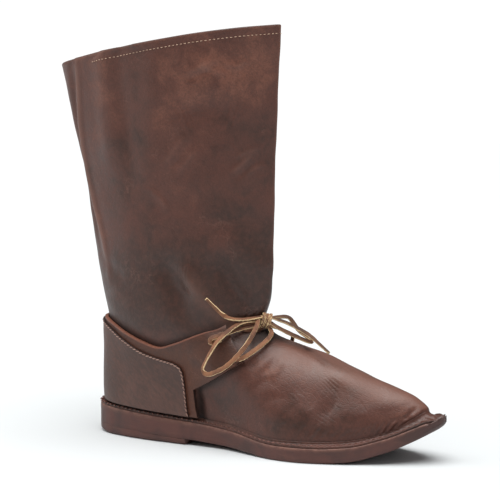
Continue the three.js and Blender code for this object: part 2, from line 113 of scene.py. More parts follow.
FOOT_ROWS = (
    FootRow(0, 1, 0, 0, 1.4, 0.99, 0.7, 1.08, 0.93, 0.8, 1, 1),
    FootRow(-0.004, 1, 0.1, 0.1, 1.39, 0.99, 0.72, 1.08, 0.95, 0.86, 1, 0.85),
    FootRow(-0.006, 0.966, 0.22, 0.27, 1.36, 0.97, 0.74, 1.07, 0.97, 0.88, 0.92, 0.7),
    FootRow(-0.006, 0.9, 0.34, 0.45, 1.3, 0.94, 0.76, 1.02, 0.95, 0.86, 0.75, 0.5),
    FootRow(-0.005, 0.82, 0.46, 0.62, 1.24, 0.91, 0.78, 0.95, 0.9, 0.82, 0.5, 0.3),
    FootRow(-0.003, 0.73, 0.6, 0.755, 1.16, 0.89, 0.81, 0.88, 0.84, 0.76, 0.3, 0.1),
    FootRow(-0.002, 0.635, 0.74, 0.86, 1.08, 0.88, 0.83, 0.84, 0.76, 0.68, 0.1, 0),
    FootRow(0, 0.545, 0.88, 0.935, 1, 0.87, 0.85, 0.83, 0.72, 0.6, 0, 0),
)

LEG_ROWS = (
    LegRow(0, 0, 0, 0, 1.05, 1.04, 1.06, 1.03, 0.86, 0.7),
    LegRow(0.04, 0.28, 0.06, 0.02, 1.05, 1.03, 1.06, 1.03, 0.88, 0.62),
    LegRow(0.1, 0.52, 0.12, 0.1, 1.06, 1.02, 1.05, 1.02, 0.88, 0.54),
    LegRow(0.2, 0.61, 0.22, 0.25, 1.07, 1, 1.04, 1.02, 0.88, 0.5),
    LegRow(0.45, 0.69, 0.4, 0.5, 1.1, 0.99, 1.03, 1.02, 0.88, 0.48),
    LegRow(0.75, 0.84, 0.71, 0.8, 1.13, 0.98, 1.02, 1.02, 0.88, 0.46),
    LegRow(1, 1, 1, 1, 1.15, 0.98, 1.02, 1.02, 0.88, 0.44),
)

# Where along an outline its six breadths stand, as shares of its length.
STATIONS = np.array([0, 0.14, 0.42, 0.68, 0.88, 1])

# The strap's top edge from the back to where its wings begin, and its lace holes.
STRAP_CREST = (
    EdgePoint(-60, 108), EdgePoint(-33, 100.5), EdgePoint(-14, 94.5), EdgePoint(4, 87.5),
    EdgePoint(20, 82), EdgePoint(37, 78.3), EdgePoint(53, 82.5), EdgePoint(67, 87.5),
)
LACE_HOLES = (EdgePoint(94, 86), EdgePoint(111, 72))


def mix(a: Value, b: Value, share: Value) -> Value:
    """A value a share of the way from a to b."""
    return a + (b - a) * share


def smooth(x: Value, low: Value, high: Value) -> Value:
    """0 below low, 1 above high, and an easy curve between."""
    t = np.clip((x - low) / (high - low), 0, 1)
    return t * t * (3 - 2 * t)


def hump(x: Value, middle: Value, width: Value) -> Value:
    """1 at the middle, falling away softly over the width on both sides."""
    return np.exp(-(((x - middle) / width) ** 2))


def unit(ways: np.ndarray) -> np.ndarray:
    """Directions of length 1."""
    return ways / np.linalg.norm(ways, axis=-1, keepdims=True)


def run_of(line: np.ndarray) -> np.ndarray:
    """The distance along a line to each of its points."""
    return np.r_[0, np.cumsum(np.linalg.norm(np.diff(line, axis=0), axis=1))]


def read_at(marks: np.ndarray, along: np.ndarray, line: np.ndarray) -> np.ndarray:
    """The points of a line at marks along it."""
    return np.stack([np.interp(marks, along, column) for column in line.T], axis=-1)


def even_turns(count: int, evenness: float = 0.45) -> np.ndarray:
    """Turns all round, set closer together at the back and front than at the sides."""
    u = np.linspace(0, 1, count + 1)
    return u + evenness * np.sin(4 * math.pi * u) / (4 * math.pi)


def ease_through(places: np.ndarray, values: np.ndarray, place: np.ndarray) -> np.ndarray:
    """A curve through values at places that never overshoots them.

    Args:
        places: Where the values stand, rising.
        values: The values along the last axis, either one row or one for each place asked.
        place: Where the curve is read.

    Returns:
        The curve's value at each place asked.
    """
    place = np.asarray(place, float)
    steps = np.diff(places)
    slopes = np.diff(values, axis=-1) / steps
    before, after = slopes[..., :-1], slopes[..., 1:]
    same = before * after > 0
    inner = np.where(same, 2 * before * after / np.where(same, before + after, 1), 0)
    tangents = np.concatenate([slopes[..., :1], inner, slopes[..., -1:]], axis=-1)
    index = np.searchsorted(places[1:-1], place)

    def pick(table: np.ndarray, shift: int = 0) -> np.ndarray:
        """Each place's own entry of the table."""
        wide = np.broadcast_to(table, index.shape + table.shape[-1:])
        return np.take_along_axis(wide, (index + shift)[..., None], axis=-1)[..., 0]

    step = steps[index]
    t = np.clip((place - places[index]) / step, 0, 1)
    rise = pick(values) * (1 + 2 * t) * (1 - t) ** 2 + pick(values, 1) * t * t * (3 - 2 * t)
    bend = pick(tangents) * t * (1 - t) ** 2 - pick(tangents, 1) * t * t * (1 - t)
    return rise + step * bend


@dataclass(frozen=True)
class BootForm:
    """The boot's sizes, and the forms of its sole and upper that follow from them."""

    sole_length: float = 305 * MM
    heel_setback: float = 39.5 * MM
    ball_width: float = 95 * MM
    heel_width: float = 66 * MM
    sole_thickness: float = 11.5 * MM
    seat_thickness: float = 16 * MM
    heel_lift: float = 8.5 * MM
    breast_lift: float = 4.5 * MM
    breast_place: float = 60 * MM
    tip_wear: float = 5.5 * MM
    tip_length: float = 17 * MM
    toe_spring: float = 29 * MM
    toe_swing: float = 11 * MM
    arch_cut: float = 7 * MM
    heel_margin: float = 10.5 * MM
    toe_margin: float = 14 * MM
    flange_show: float = 4 * MM
    flange_thickness: float = 2 * MM
    gap: float = 0.3 * MM
    wall: float = 2.2 * MM
    instep_height: float = 82 * MM
    leg_height: float = 334 * MM
    collar_drop: float = 27 * MM
    collar_length: float = 205 * MM
    collar_width: float = 90 * MM
    collar_forward: float = 128.5 * MM
    ankle_length: float = 144 * MM
    ankle_width: float = 76 * MM
    ankle_forward: float = 111.5 * MM
    strap_stand_off: float = 1.8 * MM
    footing: float = 0.25

    @property
    def sole_back(self) -> float:
        """Where the sole ends behind the heel."""
        return -self.heel_setback

    @property
    def last_level(self) -> int:
        """The level of the collar."""
        return len(FOOT_ROWS) + len(LEG_ROWS) - 1

    def _profile(self) -> tuple[np.ndarray, np.ndarray, np.ndarray]:
        """The sole's underside and thickness along its length.

        Returns:
            Shares of the length, and the underside's height and the thickness at each.
        """
        seat, sole, spring = self.seat_thickness, self.sole_thickness, self.toe_spring
        breast = (self.breast_place - self.sole_back) / self.sole_length
        rows = np.array(
            [
                (0, self.heel_lift, seat),
                (breast, self.breast_lift, mix(seat, sole, 0.25)),
                (0.47, self.breast_lift * 0.55, mix(seat, sole, 0.55)),
                (0.61, 0, sole),
                (0.71, 0, sole),
                (0.79, spring * 0.05, sole),
                (0.87, spring * 0.28, sole * 0.96),
                (0.94, spring * 0.62, sole * 0.88),
                (1, spring, sole * 0.78),
            ]
        )
        return rows[:, 0], rows[:, 1], rows[:, 2]

    def sole_under(self, x: np.ndarray) -> np.ndarray:
        """The height of the sole's underside."""
        shares, under, _ = self._profile()
        return ease_through(shares, under, (x - self.sole_back) / self.sole_length)

    def sole_top(self, x: np.ndarray) -> np.ndarray:
        """The height of the sole's upper face."""
        shares, _, thick = self._profile()
        return self.sole_under(x) + ease_through(shares, thick, (x - self.sole_back) / self.sole_length)

    def tip_drop(self, x: np.ndarray) -> np.ndarray:
        """How far the sole's worn tip is rounded down."""
        tip = self.sole_back + self.sole_length
        return self.tip_wear * smooth(x, tip - self.tip_length, tip) ** 2

    def flange_top(self, x: np.ndarray) -> np.ndarray:
        """The height of the upper's turned out edge."""
        return self.sole_top(x) + self.gap + self.flange_thickness

    def _table(self) -> dict[str, np.ndarray]:
        """Every value of the upper's sections.

        Returns:
            Each value's name, with its number at every level, and six breadths a level.
        """
        foot = np.array(FOOT_ROWS, float)
        leg = np.array(LEG_ROWS, float)
        foot_back = self.sole_back + self.heel_margin
        foot_length = self.sole_length - self.heel_margin - self.toe_margin
        ankle_back = self.ankle_forward - self.ankle_length
        collar_back = self.collar_forward - self.collar_length
        fold = self.instep_height + float(self.sole_top(np.array(self.ankle_forward)))
        back_fold = self.instep_height + float(self.sole_top(np.array(foot_back)))
        up, front_way, back_way, girth = leg[:, 0], leg[:, 1], leg[:, 2], leg[:, 3]
        ones, zeros = np.ones(len(foot)), np.zeros(len(leg))
        return {
            "back": np.r_[foot_back + foot[:, 0] * foot_length, mix(ankle_back, collar_back, back_way)],
            "front": np.r_[
                foot_back + foot[:, 1] * foot_length,
                mix(self.ankle_forward, self.collar_forward, front_way),
            ],
            "back_rise": np.r_[
                foot[:, 2] * self.instep_height,
                mix(back_fold, self.leg_height - self.collar_drop, up),
            ],
            "front_rise": np.r_[foot[:, 3] * self.instep_height, mix(fold, self.leg_height, up)],
            "half": np.r_[
                ones * (self.ball_width / 2 - self.flange_show),
                mix(self.ankle_width, self.collar_width, girth) / 2,
            ],
            "rest": np.r_[ones, zeros],
            "swing": np.r_[foot[:, 10], zeros],
            "arch": np.r_[foot[:, 11], zeros],
            "breadths": np.vstack([foot[:, 4:10], leg[:, 4:10]]),
        }

    def outline(self, row: dict[str, np.ndarray], turn: np.ndarray) -> tuple[np.ndarray, ...]:
        """A point of an outline in plan.

        Args:
            row: The outline's ends, breadths, swing and arch.
            turn: From 0 at the back, round the outer side, to 1.

        Returns:
            X, Y and the share of the way to the front.
        """
        angle = turn * 2 * math.pi
        share = (1 - np.cos(angle)) / 2
        breadth = row["half"] * ease_through(STATIONS, row["breadths"], share)
        side = -np.sin(angle)
        cut = np.where(side > 0, self.arch_cut * row["arch"] * hump(share, 0.42, 0.15), 0)
        middle = self.toe_swing * row["swing"] * smooth(share, 0.5, 1) * np.minimum(1, share)
        x = mix(row["back"], row["front"], share)
        return x, middle + side * (breadth - cut), share

    def sole_ring(self, turn: np.ndarray, inset: Value = 0) -> np.ndarray:
        """The sole's outline in plan.

        Args:
            turn: From 0 at the back, round the outer side, to 1.
            inset: How far the outline is moved in.

        Returns:
            X and Y at each turn.
        """
        heel = self.heel_width / self.ball_width
        row = {
            "back": self.sole_back,
            "front": self.sole_back + self.sole_length,
            "half": self.ball_width / 2,
            "swing": 1,
            "arch": 1,
            "breadths": np.array([heel * 1.93, heel * 1.4, 0.72, 1.07, 0.92, 0.74]),
        }
        step = 1e-3
        x, y, _ = self.outline(row, turn)
        ax, ay, _ = self.outline(row, turn - step)
        bx, by, _ = self.outline(row, turn + step)
        length = np.hypot(bx - ax, by - ay)
        return np.stack([x - (by - ay) / length * inset, y + (bx - ax) / length * inset], axis=-1)

    def face(self, turn: np.ndarray, level: np.ndarray) -> np.ndarray:
        """The outer face of the upper.

        Args:
            turn: From 0 at the back, round the outer side, to 1.
            level: From 0 at the sole to last_level at the collar.

        Returns:
            The places on the face.
        """
        turn, level = np.broadcast_arrays(np.asarray(turn, float), np.asarray(level, float))
        levels = np.arange(self.last_level + 1, dtype=float)
        table = self._table()
        row = {k: ease_through(levels, v, level) for k, v in table.items() if k != "breadths"}
        breadths = [ease_through(levels, column, level) for column in table["breadths"].T]
        row["breadths"] = np.stack(breadths, axis=-1)
        x, y, share = self.outline(row, turn)
        rise = mix(row["back_rise"], row["front_rise"], share)
        return np.stack([x, y, rise + row["rest"] * self.sole_top(x)], axis=-1)

    def normal(self, turn: np.ndarray, level: np.ndarray) -> np.ndarray:
        """The way out from the upper's face.

        Args:
            turn: From 0 at the back, round the outer side, to 1.
            level: From 0 at the sole to last_level at the collar.

        Returns:
            A direction of length 1 at each place.
        """
        step = 1e-3
        low = np.maximum(0, level - step * 20)
        high = np.minimum(self.last_level, level + step * 20)
        across = self.face(turn + step, level) - self.face(turn - step, level)
        return unit(np.cross(across, self.face(turn, high) - self.face(turn, low)))

    def over(self, turn: np.ndarray, level: np.ndarray, out: Value) -> np.ndarray:
        """The upper's face moved out by a distance."""
        out = np.asarray(out, float)
        return self.face(turn, level) + self.normal(turn, level) * out[..., None]

    def footing_ring(self, turn: np.ndarray, out: Value) -> np.ndarray:
        """Where the wall stands on the turned out edge.

        Args:
            turn: From 0 at the back, round the outer side, to 1.
            out: How far the wall is moved out.

        Returns:
            The places at each turn.
        """
        ring = self.over(turn, np.full_like(turn, self.footing), out)
        ring[..., 2] = self.flange_top(ring[..., 0])
        return ring

    def level_at(self, turn: np.ndarray, height: np.ndarray) -> np.ndarray:
        """The level where the upper's face has a height, found by halving.

        Args:
            turn: From 0 at the back, round the outer side, to 1.
            height: The height wanted at each turn.

        Returns:
            The level at each turn.
        """
        low = np.full_like(height, self.footing)
        high = np.full_like(height, self.last_level)
        for _ in range(18):
            middle = (low + high) / 2
            under = self.face(turn, middle)[..., 2] < height
            low, high = np.where(under, middle, low), np.where(under, high, middle)
        return low

    def spot(self, forward: np.ndarray, up: np.ndarray, side: Side) -> tuple[np.ndarray, np.ndarray]:
        """The spot on one side that shows at a place in side view, found by halving.

        Args:
            forward: The place's X.
            up: The place's Z.
            side: The side of the boot.

        Returns:
            The spot's turn and level.
        """
        forward, up = np.asarray(forward, float), np.asarray(up, float)
        near, far = np.full_like(up, 0.005), np.full_like(up, 0.5)
        for _ in range(14):
            middle = (near + far) / 2
            turn = middle if side is Side.OUTER else 1 - middle
            behind = self.face(turn, self.level_at(turn, up))[..., 0] < forward
            near, far = np.where(behind, middle, near), np.where(behind, far, middle)
        turn = near if side is Side.OUTER else 1 - near
        return turn, self.level_at(turn, up)

    def stand_off(self, height: np.ndarray) -> np.ndarray:
        """How far the strap stands off the leg at a height."""
        return self.strap_stand_off * smooth(height, self.instep_height * 0.7, self.instep_height * 1.35)


class Crease(NamedTuple):
    """A soft trough or ridge: its side, its way in side view, and its size, in millimetres, then how far it
    pales the leather by pull-up and painted highlight.
    """

    side: Side
    path: tuple[tuple[float, float], ...]
    rise: float
    width: float
    burnish_and_highlight: float = 0


class Patch(NamedTuple):
    """A soft patch of colour, warm above 0 and dark below, at a place in side view in millimetres; some
    patches are the leather's own mottling and some are painted shading.
    """

    side: Side
    forward: float
    up: float
    long: float
    high: float
    tone_and_shading: float


def smooth_path(points: Sequence[Sequence[float]], step: float) -> np.ndarray:
    """Evenly spaced points of a smooth curve through the given ones.

    Args:
        points: The points that the curve passes.
        step: The distance between the points returned.

    Returns:
        The curve's points, one in each row.
    """
    ends = np.array(points, float)
    padded = np.vstack([2 * ends[0] - ends[1], ends, 2 * ends[-1] - ends[-2]])
    found = []
    for a, b, c, d in zip(padded, padded[1:], padded[2:], padded[3:]):
        t = np.linspace(0, 1, 24, endpoint=False)[:, None]
        curve = 2 * b + (c - a) * t + (2 * a - 5 * b + 4 * c - d) * t**2
        found.append((curve + (3 * b - 3 * c + d - a) * t**3) / 2)
    fine = np.vstack([*found, ends[-1]])
    along = run_of(fine)
    return read_at(np.linspace(0, along[-1], max(2, round(along[-1] / step) + 1)), along, fine)


def new_object(name: str, bm: Mesh, materials: Sequence[Material]) -> Piece:
    """An object with the mesh and materials, smooth, in the scene.

    Args:
        name: The piece's name.
        bm: Its mesh, which is freed.
        materials: Its materials, in the order of the faces' indices.

    Returns:
        The new object.
    """
    mesh = bpy.data.meshes.new(name)
    for face in bm.faces:
        face.smooth = True
    bm.to_mesh(mesh)
    bm.free()
    made = bpy.data.objects.new(name, mesh)
    for material in materials:
        mesh.materials.append(material)
    bpy.context.collection.objects.link(made)
    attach(made, BODY)
    log.info("%s: %d faces", name, len(mesh.polygons))
    return made


def grid(points: np.ndarray, layers: dict[str, np.ndarray] | None = None) -> Mesh:
    """A grid of faces whose corners lie at the points, with doubles merged.

    Args:
        points: Rows of columns of places. Columns crossed with rows point outwards.
        layers: Values to keep at the corners, by name.

    Returns:
        The new mesh.
    """
    rows, columns = points.shape[:2]
    bm = bmesh.new()
    bmesh.ops.create_grid(bm, x_segments=columns - 1, y_segments=rows - 1, size=1)
    for vert, place in zip(bm.verts, points.reshape(-1, 3).tolist()):
        vert.co = place
    for name, values in (layers or {}).items():
        layer = bm.verts.layers.float.new(name)
        for vert, value in zip(bm.verts, values.ravel().tolist()):
            vert[layer] = value
    bmesh.ops.remove_doubles(bm, verts=bm.verts, dist=1e-6)
    return bm


def add_mesh(whole: Mesh, part: Mesh) -> None:
    """Adds a part to a mesh, and frees the part.

    Args:
        whole: The mesh that grows.
        part: The mesh that is added.
    """
    scratch = bpy.data.meshes.new("part")
    part.to_mesh(scratch)
    part.free()
    whole.from_mesh(scratch)
    bpy.data.meshes.remove(scratch)


def finish_with(piece: Piece, kind: str, **settings: object) -> None:
    """Adds a modifier to a piece.

    Args:
        piece: The object.
        kind: The modifier's type.
        settings: Its settings by name.
    """
    modifier = piece.modifiers.new(kind.title(), kind)
    for name, value in settings.items():
        setattr(modifier, name, value)


def stitches(places: np.ndarray, ways: np.ndarray, outs: np.ndarray, size: Triple) -> Mesh:
    """A row of small rounded stitches.

    Args:
        places: The middle of each.
        ways: The direction each runs in.
        outs: The way out of the leather at each.
        size: A stitch's length, width and thickness.

    Returns:
        One mesh that holds them all.
    """
    bm = bmesh.new()
    for place, way, out in zip(places, ways, outs):
        along = Vector(way).normalized()
        up = Vector(out).normalized()
        across = up.cross(along).normalized()
        up = along.cross(across)
        turned = Matrix((along, across, up)).transposed().to_4x4()
        scale = Matrix.Diagonal((*[length / 2 for length in size], 1))
        matrix = Matrix.Translation(place) @ turned @ scale
        bmesh.ops.create_icosphere(bm, subdivisions=2, radius=1, matrix=matrix)
    return bm


class Graph:
    """A material and the nodes that make it."""

    def __init__(self, name: str) -> None:
        """Starts an empty material with one shader.

        Args:
            name: The material's name.
        """
        self.material = bpy.data.materials.new(name)
        self.material.use_nodes = True
        self.tree = self.material.node_tree
        self.tree.nodes.clear()
        self.shader = self.node("ShaderNodeBsdfPrincipled")
        output = self.node("ShaderNodeOutputMaterial")
        self.tree.links.new(self.shader.outputs[0], output.inputs[0])
        self.place = self.node("ShaderNodeTexCoord").outputs["Object"]

    def node(self, kind: str, settings: dict[str, object] | None = None, **inputs: object) -> bpy.types.Node:
        """Adds a node.

        Args:
            kind: The node's type.
            settings: Its own settings by name.
            inputs: A value or a socket for each input, with _ for a space.

        Returns:
            The new node.
        """
        made = self.tree.nodes.new(kind)
        for name, value in (settings or {}).items():
            setattr(made, name, value)
        for name, value in inputs.items():
            self.join(made.inputs[name.replace("_", " ")], value)
        return made

    def join(self, socket: Socket, value: object) -> None:
        """Gives a socket a value, or links another socket to it.

        Args:
            socket: The input that is filled.
            value: Another socket, a number or a colour.
        """
        if isinstance(value, Socket):
            self.tree.links.new(value, socket)
        else:
            socket.default_value = value

    def feed(self, made: bpy.types.Node, values: dict[int, object]) -> bpy.types.Node:
        """Fills a node's inputs by their place in its list.

        Args:
            made: The node.
            values: A value or a socket for each place.

        Returns:
            The same node.
        """
        for index, value in values.items():
            self.join(made.inputs[index], value)
        return made

    def stretched(self, scale: Triple, turn: Triple = (0, 0, 0)) -> Socket:
        """Object coordinates drawn out by a factor along each axis, and turned."""
        inputs = {"Vector": self.place, "Rotation": turn, "Scale": tuple(1 / s for s in scale)}
        return self.node("ShaderNodeMapping", {"vector_type": "TEXTURE"}, **inputs).outputs[0]

    def noise(
        self, scale: float, detail: float = 4, rough: float = 0.55, bend: float = 0, at: Socket | None = None
    ) -> Socket:
        """Noise with a number of waves in each metre."""
        inputs = {"Scale": scale, "Detail": detail, "Roughness": rough, "Distortion": bend}
        return self.node("ShaderNodeTexNoise", Vector=at or self.place, **inputs).outputs["Fac"]

    def cells(self, scale: float, feature: str = "F1", at: Socket | None = None) -> Socket:
        """The distance in a pattern of cells."""
        made = self.node("ShaderNodeTexVoronoi", {"feature": feature}, Vector=at or self.place, Scale=scale)
        return made.outputs[0]

    def ranged(self, value: Socket, low: float, high: float, to_low: float = 0, to_high: float = 1) -> Socket:
        """A value brought smoothly from one range to another."""
        limits = {"From_Min": low, "From_Max": high, "To_Min": to_low, "To_Max": to_high}
        settings = {"interpolation_type": "SMOOTHSTEP"}
        return self.node("ShaderNodeMapRange", settings, Value=value, **limits).outputs[0]

    def math(self, kind: str, a: Socket | float, b: Socket | float = 0.0) -> Socket:
        """A sum, product or other operation on two values."""
        return self.feed(self.node("ShaderNodeMath", {"operation": kind}), {0: a, 1: b}).outputs[0]

    def blend(self, share: Socket | float, a: object, b: object) -> Socket:
        """A colour between two others."""
        made = self.node("ShaderNodeMix", {"data_type": "RGBA"})
        return self.feed(made, {0: share, 6: a, 7: b}).outputs[2]

    def painted(self, name: str) -> Socket:
        """A value kept at the mesh's corners."""
        return self.node("ShaderNodeAttribute", {"attribute_name": name}).outputs["Fac"]

    def bump(
        self, height: Socket, distance: float, strength: float = 1, over: Socket | None = None
    ) -> Socket:
        """A normal raised by a height, over another normal where one is given."""
        under = {} if over is None else {"Normal": over}
        made = self.node("ShaderNodeBump", Height=height, Distance=distance, Strength=strength, **under)
        return made.outputs[0]

    def set(self, **inputs: object) -> None:
        """Gives the shader values or sockets, with _ for a space."""
        for name, value in inputs.items():
            self.join(self.shader.inputs[name.replace("_", " ")], value)


def colour(red: int, green: int, blue: int) -> Colour:
    """A colour of 0 to 255 as seen, in the linear light of a shader."""
    seen = [c / 255 for c in (red, green, blue)]
    return (*[c / 12.92 if c <= 0.04045 else ((c + 0.055) / 1.055) ** 2.4 for c in seen], 1.0)


@dataclass(frozen=True)
class PullUpLeather:
    """Waxed leather that pales where it is pulled and where highlights are painted, with mottled browns, fine
    grain and soft gloss.
    """

    name: str
    dark: Colour = colour(54, 32, 24)
    body: Colour = colour(83, 47, 37)
    warm: Colour = colour(113, 69, 54)
    pale: Colour = colour(138, 98, 84)
    cut: Colour = colour(116, 71, 55)
    deep: Colour = colour(22, 14, 12)
    grain: float = 1100
    grain_depth: float = 0.1 * MM
    wave_depth: float = 0.42 * MM
    wrinkle_depth: float = 0.12 * MM
    gloss: float = 0.44
    pull_up_and_highlight: float = 0.36
    vein_strength: float = 0.2

    def build(self) -> Material:
        """Makes the material.

        Returns:
            The new material.
        """
        g = Graph(self.name)
        clouds = g.noise(13, 5, 0.6, 0.6)
        mottle = g.noise(55, 6, 0.62, 0.9)
        fleck = g.noise(260, 5, 0.6)
        depth = g.math("ADD", g.math("MULTIPLY", clouds, 0.55), g.math("MULTIPLY", mottle, 0.45))
        # The mottled browns are shifted by the leather's own patches and by painted light and shade.
        tone = g.math("ADD", depth, g.math("MULTIPLY", g.painted("tone_and_shading"), 0.13))
        brown = g.blend(g.ranged(tone, 0.36, 0.56), self.dark, self.body)
        brown = g.blend(g.ranged(tone, 0.54, 0.74), brown, self.warm)
        brown = g.blend(g.ranged(fleck, 0.38, 0.72, 0, 0.5), brown, self.body)
        drawn = g.stretched((1, 1, 1.7), (0, 0.5, 0))
        wander = g.math("ABSOLUTE", g.math("SUBTRACT", g.noise(30, 6, 0.6, 0.3, drawn), 0.5))
        line = g.ranged(wander, 0, 0.016, self.vein_strength, 0)
        vein = g.math("MULTIPLY", line, g.ranged(g.noise(24, 3), 0.5, 0.66))
        brown = g.blend(vein, brown, self.pale)
        brown = g.blend(g.ranged(g.noise(620, 4, 0.7), 0.42, 0.62, 0, 0.32), brown, self.dark)
        # Pulled crests pale the leather, and painted highlights pale it the same way.
        brown = g.blend(g.ranged(g.painted("burnish_and_highlight"), 0.05, 1, 0, self.pull_up_and_highlight), brown, self.pale)
        brown = g.blend(g.ranged(g.painted("edge"), 0.3, 0.8), brown, self.cut)
        # Painted shade: where the upper is marked as shaded it goes nearly black, and rougher so that it
        # keeps no gloss.
        brown = g.blend(g.painted("shade"), brown, self.deep)
        wrinkle = g.cells(170, "DISTANCE_TO_EDGE", g.stretched((1, 1.8, 0.55), (0.3, 0.5, 0.2)))
        height = g.bump(g.noise(90, 6, 0.66, 1.2), self.wave_depth, 0.55)
        height = g.bump(g.ranged(wrinkle, 0, 0.12), self.wrinkle_depth, 0.4, height)
        height = g.bump(g.cells(self.grain), self.grain_depth, 0.7, height)
        dull = g.math("MULTIPLY", g.painted("shade"), 0.45)
        rough = g.math("ADD", g.ranged(mottle, 0.3, 0.7, self.gloss - 0.05, self.gloss + 0.09), dull)
        g.set(Base_Color=brown, Roughness=rough, Normal=height)
        g.set(Specular_IOR_Level=0.38, Coat_Weight=0.1, Coat_Roughness=0.4)
        return g.material


@dataclass(frozen=True)
class CutEdge:
    """The pale cut edge of a thick leather, ribbed along its fibres, and painted dark as shade where its edge
    mark is low.
    """

    name: str
    body: Colour = colour(130, 80, 61)
    dark: Colour = colour(40, 23, 19)

    def build(self) -> Material:
        """Makes the material.

        Returns:
            The new material.
        """
        g = Graph(self.name)
        fibre = g.noise(420, 5, 0.65, 0.6)
        light = g.math("MULTIPLY", g.painted("edge"), g.ranged(fibre, 0.3, 0.6, 0.55, 1))
        g.set(Base_Color=g.blend(light, self.dark, self.body), Roughness=0.6)
        g.set(Normal=g.bump(fibre, 0.25 * MM, 0.6))
        return g.material


@dataclass(frozen=True)
class PebbledLeather:
    """Firm strap leather with a pebbled, diagonally drawn face."""

    name: str
    dark: Colour = colour(64, 42, 35)
    body: Colour = colour(85, 56, 47)
    pale: Colour = colour(106, 76, 65)

    def build(self) -> Material:
        """Makes the material.

        Returns:
            The new material.
        """
        g = Graph(self.name)
        drawn = g.stretched((1, 1, 2.6), (0, 0.7, 0))
        striae = g.noise(210, 6, 0.62, 0.5, drawn)
        clouds = g.noise(24, 5, 0.6, 0.5)
        pebbles = g.cells(430, "SMOOTH_F1", g.stretched((1, 1, 1.5), (0, 0.7, 0)))
        tone = g.math("ADD", g.math("MULTIPLY", striae, 0.5), g.math("MULTIPLY", clouds, 0.5))
        brown = g.blend(g.ranged(tone, 0.40, 0.60), self.dark, self.body)
        brown = g.blend(g.ranged(tone, 0.58, 0.72, 0, 0.7), brown, self.pale)
        height = g.bump(striae, 0.45 * MM, 0.7)
        height = g.bump(pebbles, 0.35 * MM, 0.5, height)
        g.set(Base_Color=brown, Normal=height, Roughness=g.ranged(striae, 0.3, 0.7, 0.5, 0.62))
        g.set(Coat_Weight=0.06, Coat_Roughness=0.4)
        return g.material


@dataclass(frozen=True)
class SoleRubber:
    """The sole's smooth brown edge, a little rubbed and dusty."""

    name: str
    body: Colour = colour(88, 52, 45)
    dark: Colour = colour(64, 38, 33)
    rubbed: Colour = colour(114, 78, 66)

    def build(self) -> Material:
        """Makes the material.

        Returns:
            The new material.
        """
        g = Graph(self.name)
        clouds = g.noise(30, 6, 0.6, 0.4)
        layered = g.noise(340, 5, 0.6, 0.2, g.stretched((0.12, 0.12, 1)))
        brown = g.blend(g.ranged(clouds, 0.35, 0.68), self.dark, self.body)
        brown = g.blend(g.ranged(layered, 0.55, 0.8, 0, 0.3), brown, self.rubbed)
        worn = g.math("MULTIPLY", g.painted("rim"), g.ranged(g.noise(160, 4), 0.4, 0.6, 0.3, 0.9))
        brown = g.blend(worn, brown, self.rubbed)
        height = g.bump(layered, 0.2 * MM, 0.5)
        height = g.bump(g.noise(900, 3, 0.6), 0.08 * MM, 0.5, height)
        g.set(Base_Color=brown, Normal=height, Roughness=g.ranged(clouds, 0.3, 0.7, 0.5, 0.66))
        return g.material


@dataclass(frozen=True)
class Thong:
    """A split leather thong: tan face, fibrous and paler where it is cut."""

    name: str
    face: Colour = colour(142, 96, 66)
    dark: Colour = colour(94, 61, 45)
    cut: Colour = colour(232, 202, 156)
    dark_brown: Colour = colour(58, 42, 32)

    def build(self) -> Material:
        """Makes the material.

        Returns:
            The new material.
        """
        g = Graph(self.name)
        fibre = g.noise(700, 5, 0.65, 0.4)
        clouds = g.noise(60, 4, 0.6)
        tan = g.blend(g.ranged(clouds, 0.35, 0.65), self.dark, self.face)
        edge = g.math("ADD", g.painted("edge"), g.ranged(fibre, 0.3, 0.7, -0.25, 0.25))
        tan = g.blend(g.ranged(edge, 0.35, 0.75), tan, self.cut)
        # Strands marked darker go towards a dark brown, their cut edges less so.
        tan = g.blend(g.painted("shade"), tan, self.dark_brown)
        g.set(Base_Color=tan, Roughness=0.78, Normal=g.bump(fibre, 0.3 * MM, 0.7))
        return g.material


@dataclass(frozen=True)
class Thread:
    """Twisted waxed thread."""

    name: str
    body: Colour
    dark: Colour

    def build(self) -> Material:
        """Makes the material.

        Returns:
            The new material.
        """
        g = Graph(self.name)
        fibre = g.noise(1600, 3, 0.6)
        g.set(Base_Color=g.blend(g.ranged(fibre, 0.35, 0.65), self.dark, self.body), Roughness=0.6)
        g.set(Normal=g.bump(fibre, 0.1 * MM, 0.6))
        return g.material


@dataclass(frozen=True)
class Suede:
    """The rough flesh side of leather, inside the leg and on the insole."""

    name: str
    body: Colour = colour(128, 84, 60)
    dark: Colour = colour(86, 52, 38)

    def build(self) -> Material:
        """Makes the material.

        Returns:
            The new material.
        """
        g = Graph(self.name)
        nap = g.noise(600, 6, 0.7)
        clouds = g.noise(25, 4, 0.6)
        tone = g.math("ADD", g.math("MULTIPLY", nap, 0.5), g.math("MULTIPLY", clouds, 0.5))
        g.set(Base_Color=g.blend(g.ranged(tone, 0.38, 0.62), self.dark, self.body))
        g.set(Roughness=0.88, Sheen_Weight=0.15, Normal=g.bump(nap, 0.25 * MM, 0.7))
        return g.material


@dataclass(frozen=True)
class StudioFloor:
    """Plain pale floor."""

    name: str
    body: Colour = (0.62, 0.65, 0.67, 1)

    def build(self) -> Material:
        """Makes the material.

        Returns:
            The new material.
        """
        g = Graph(self.name)
        g.set(Base_Color=self.body, Roughness=0.7, Specular_IOR_Level=0.25)
        return g.material


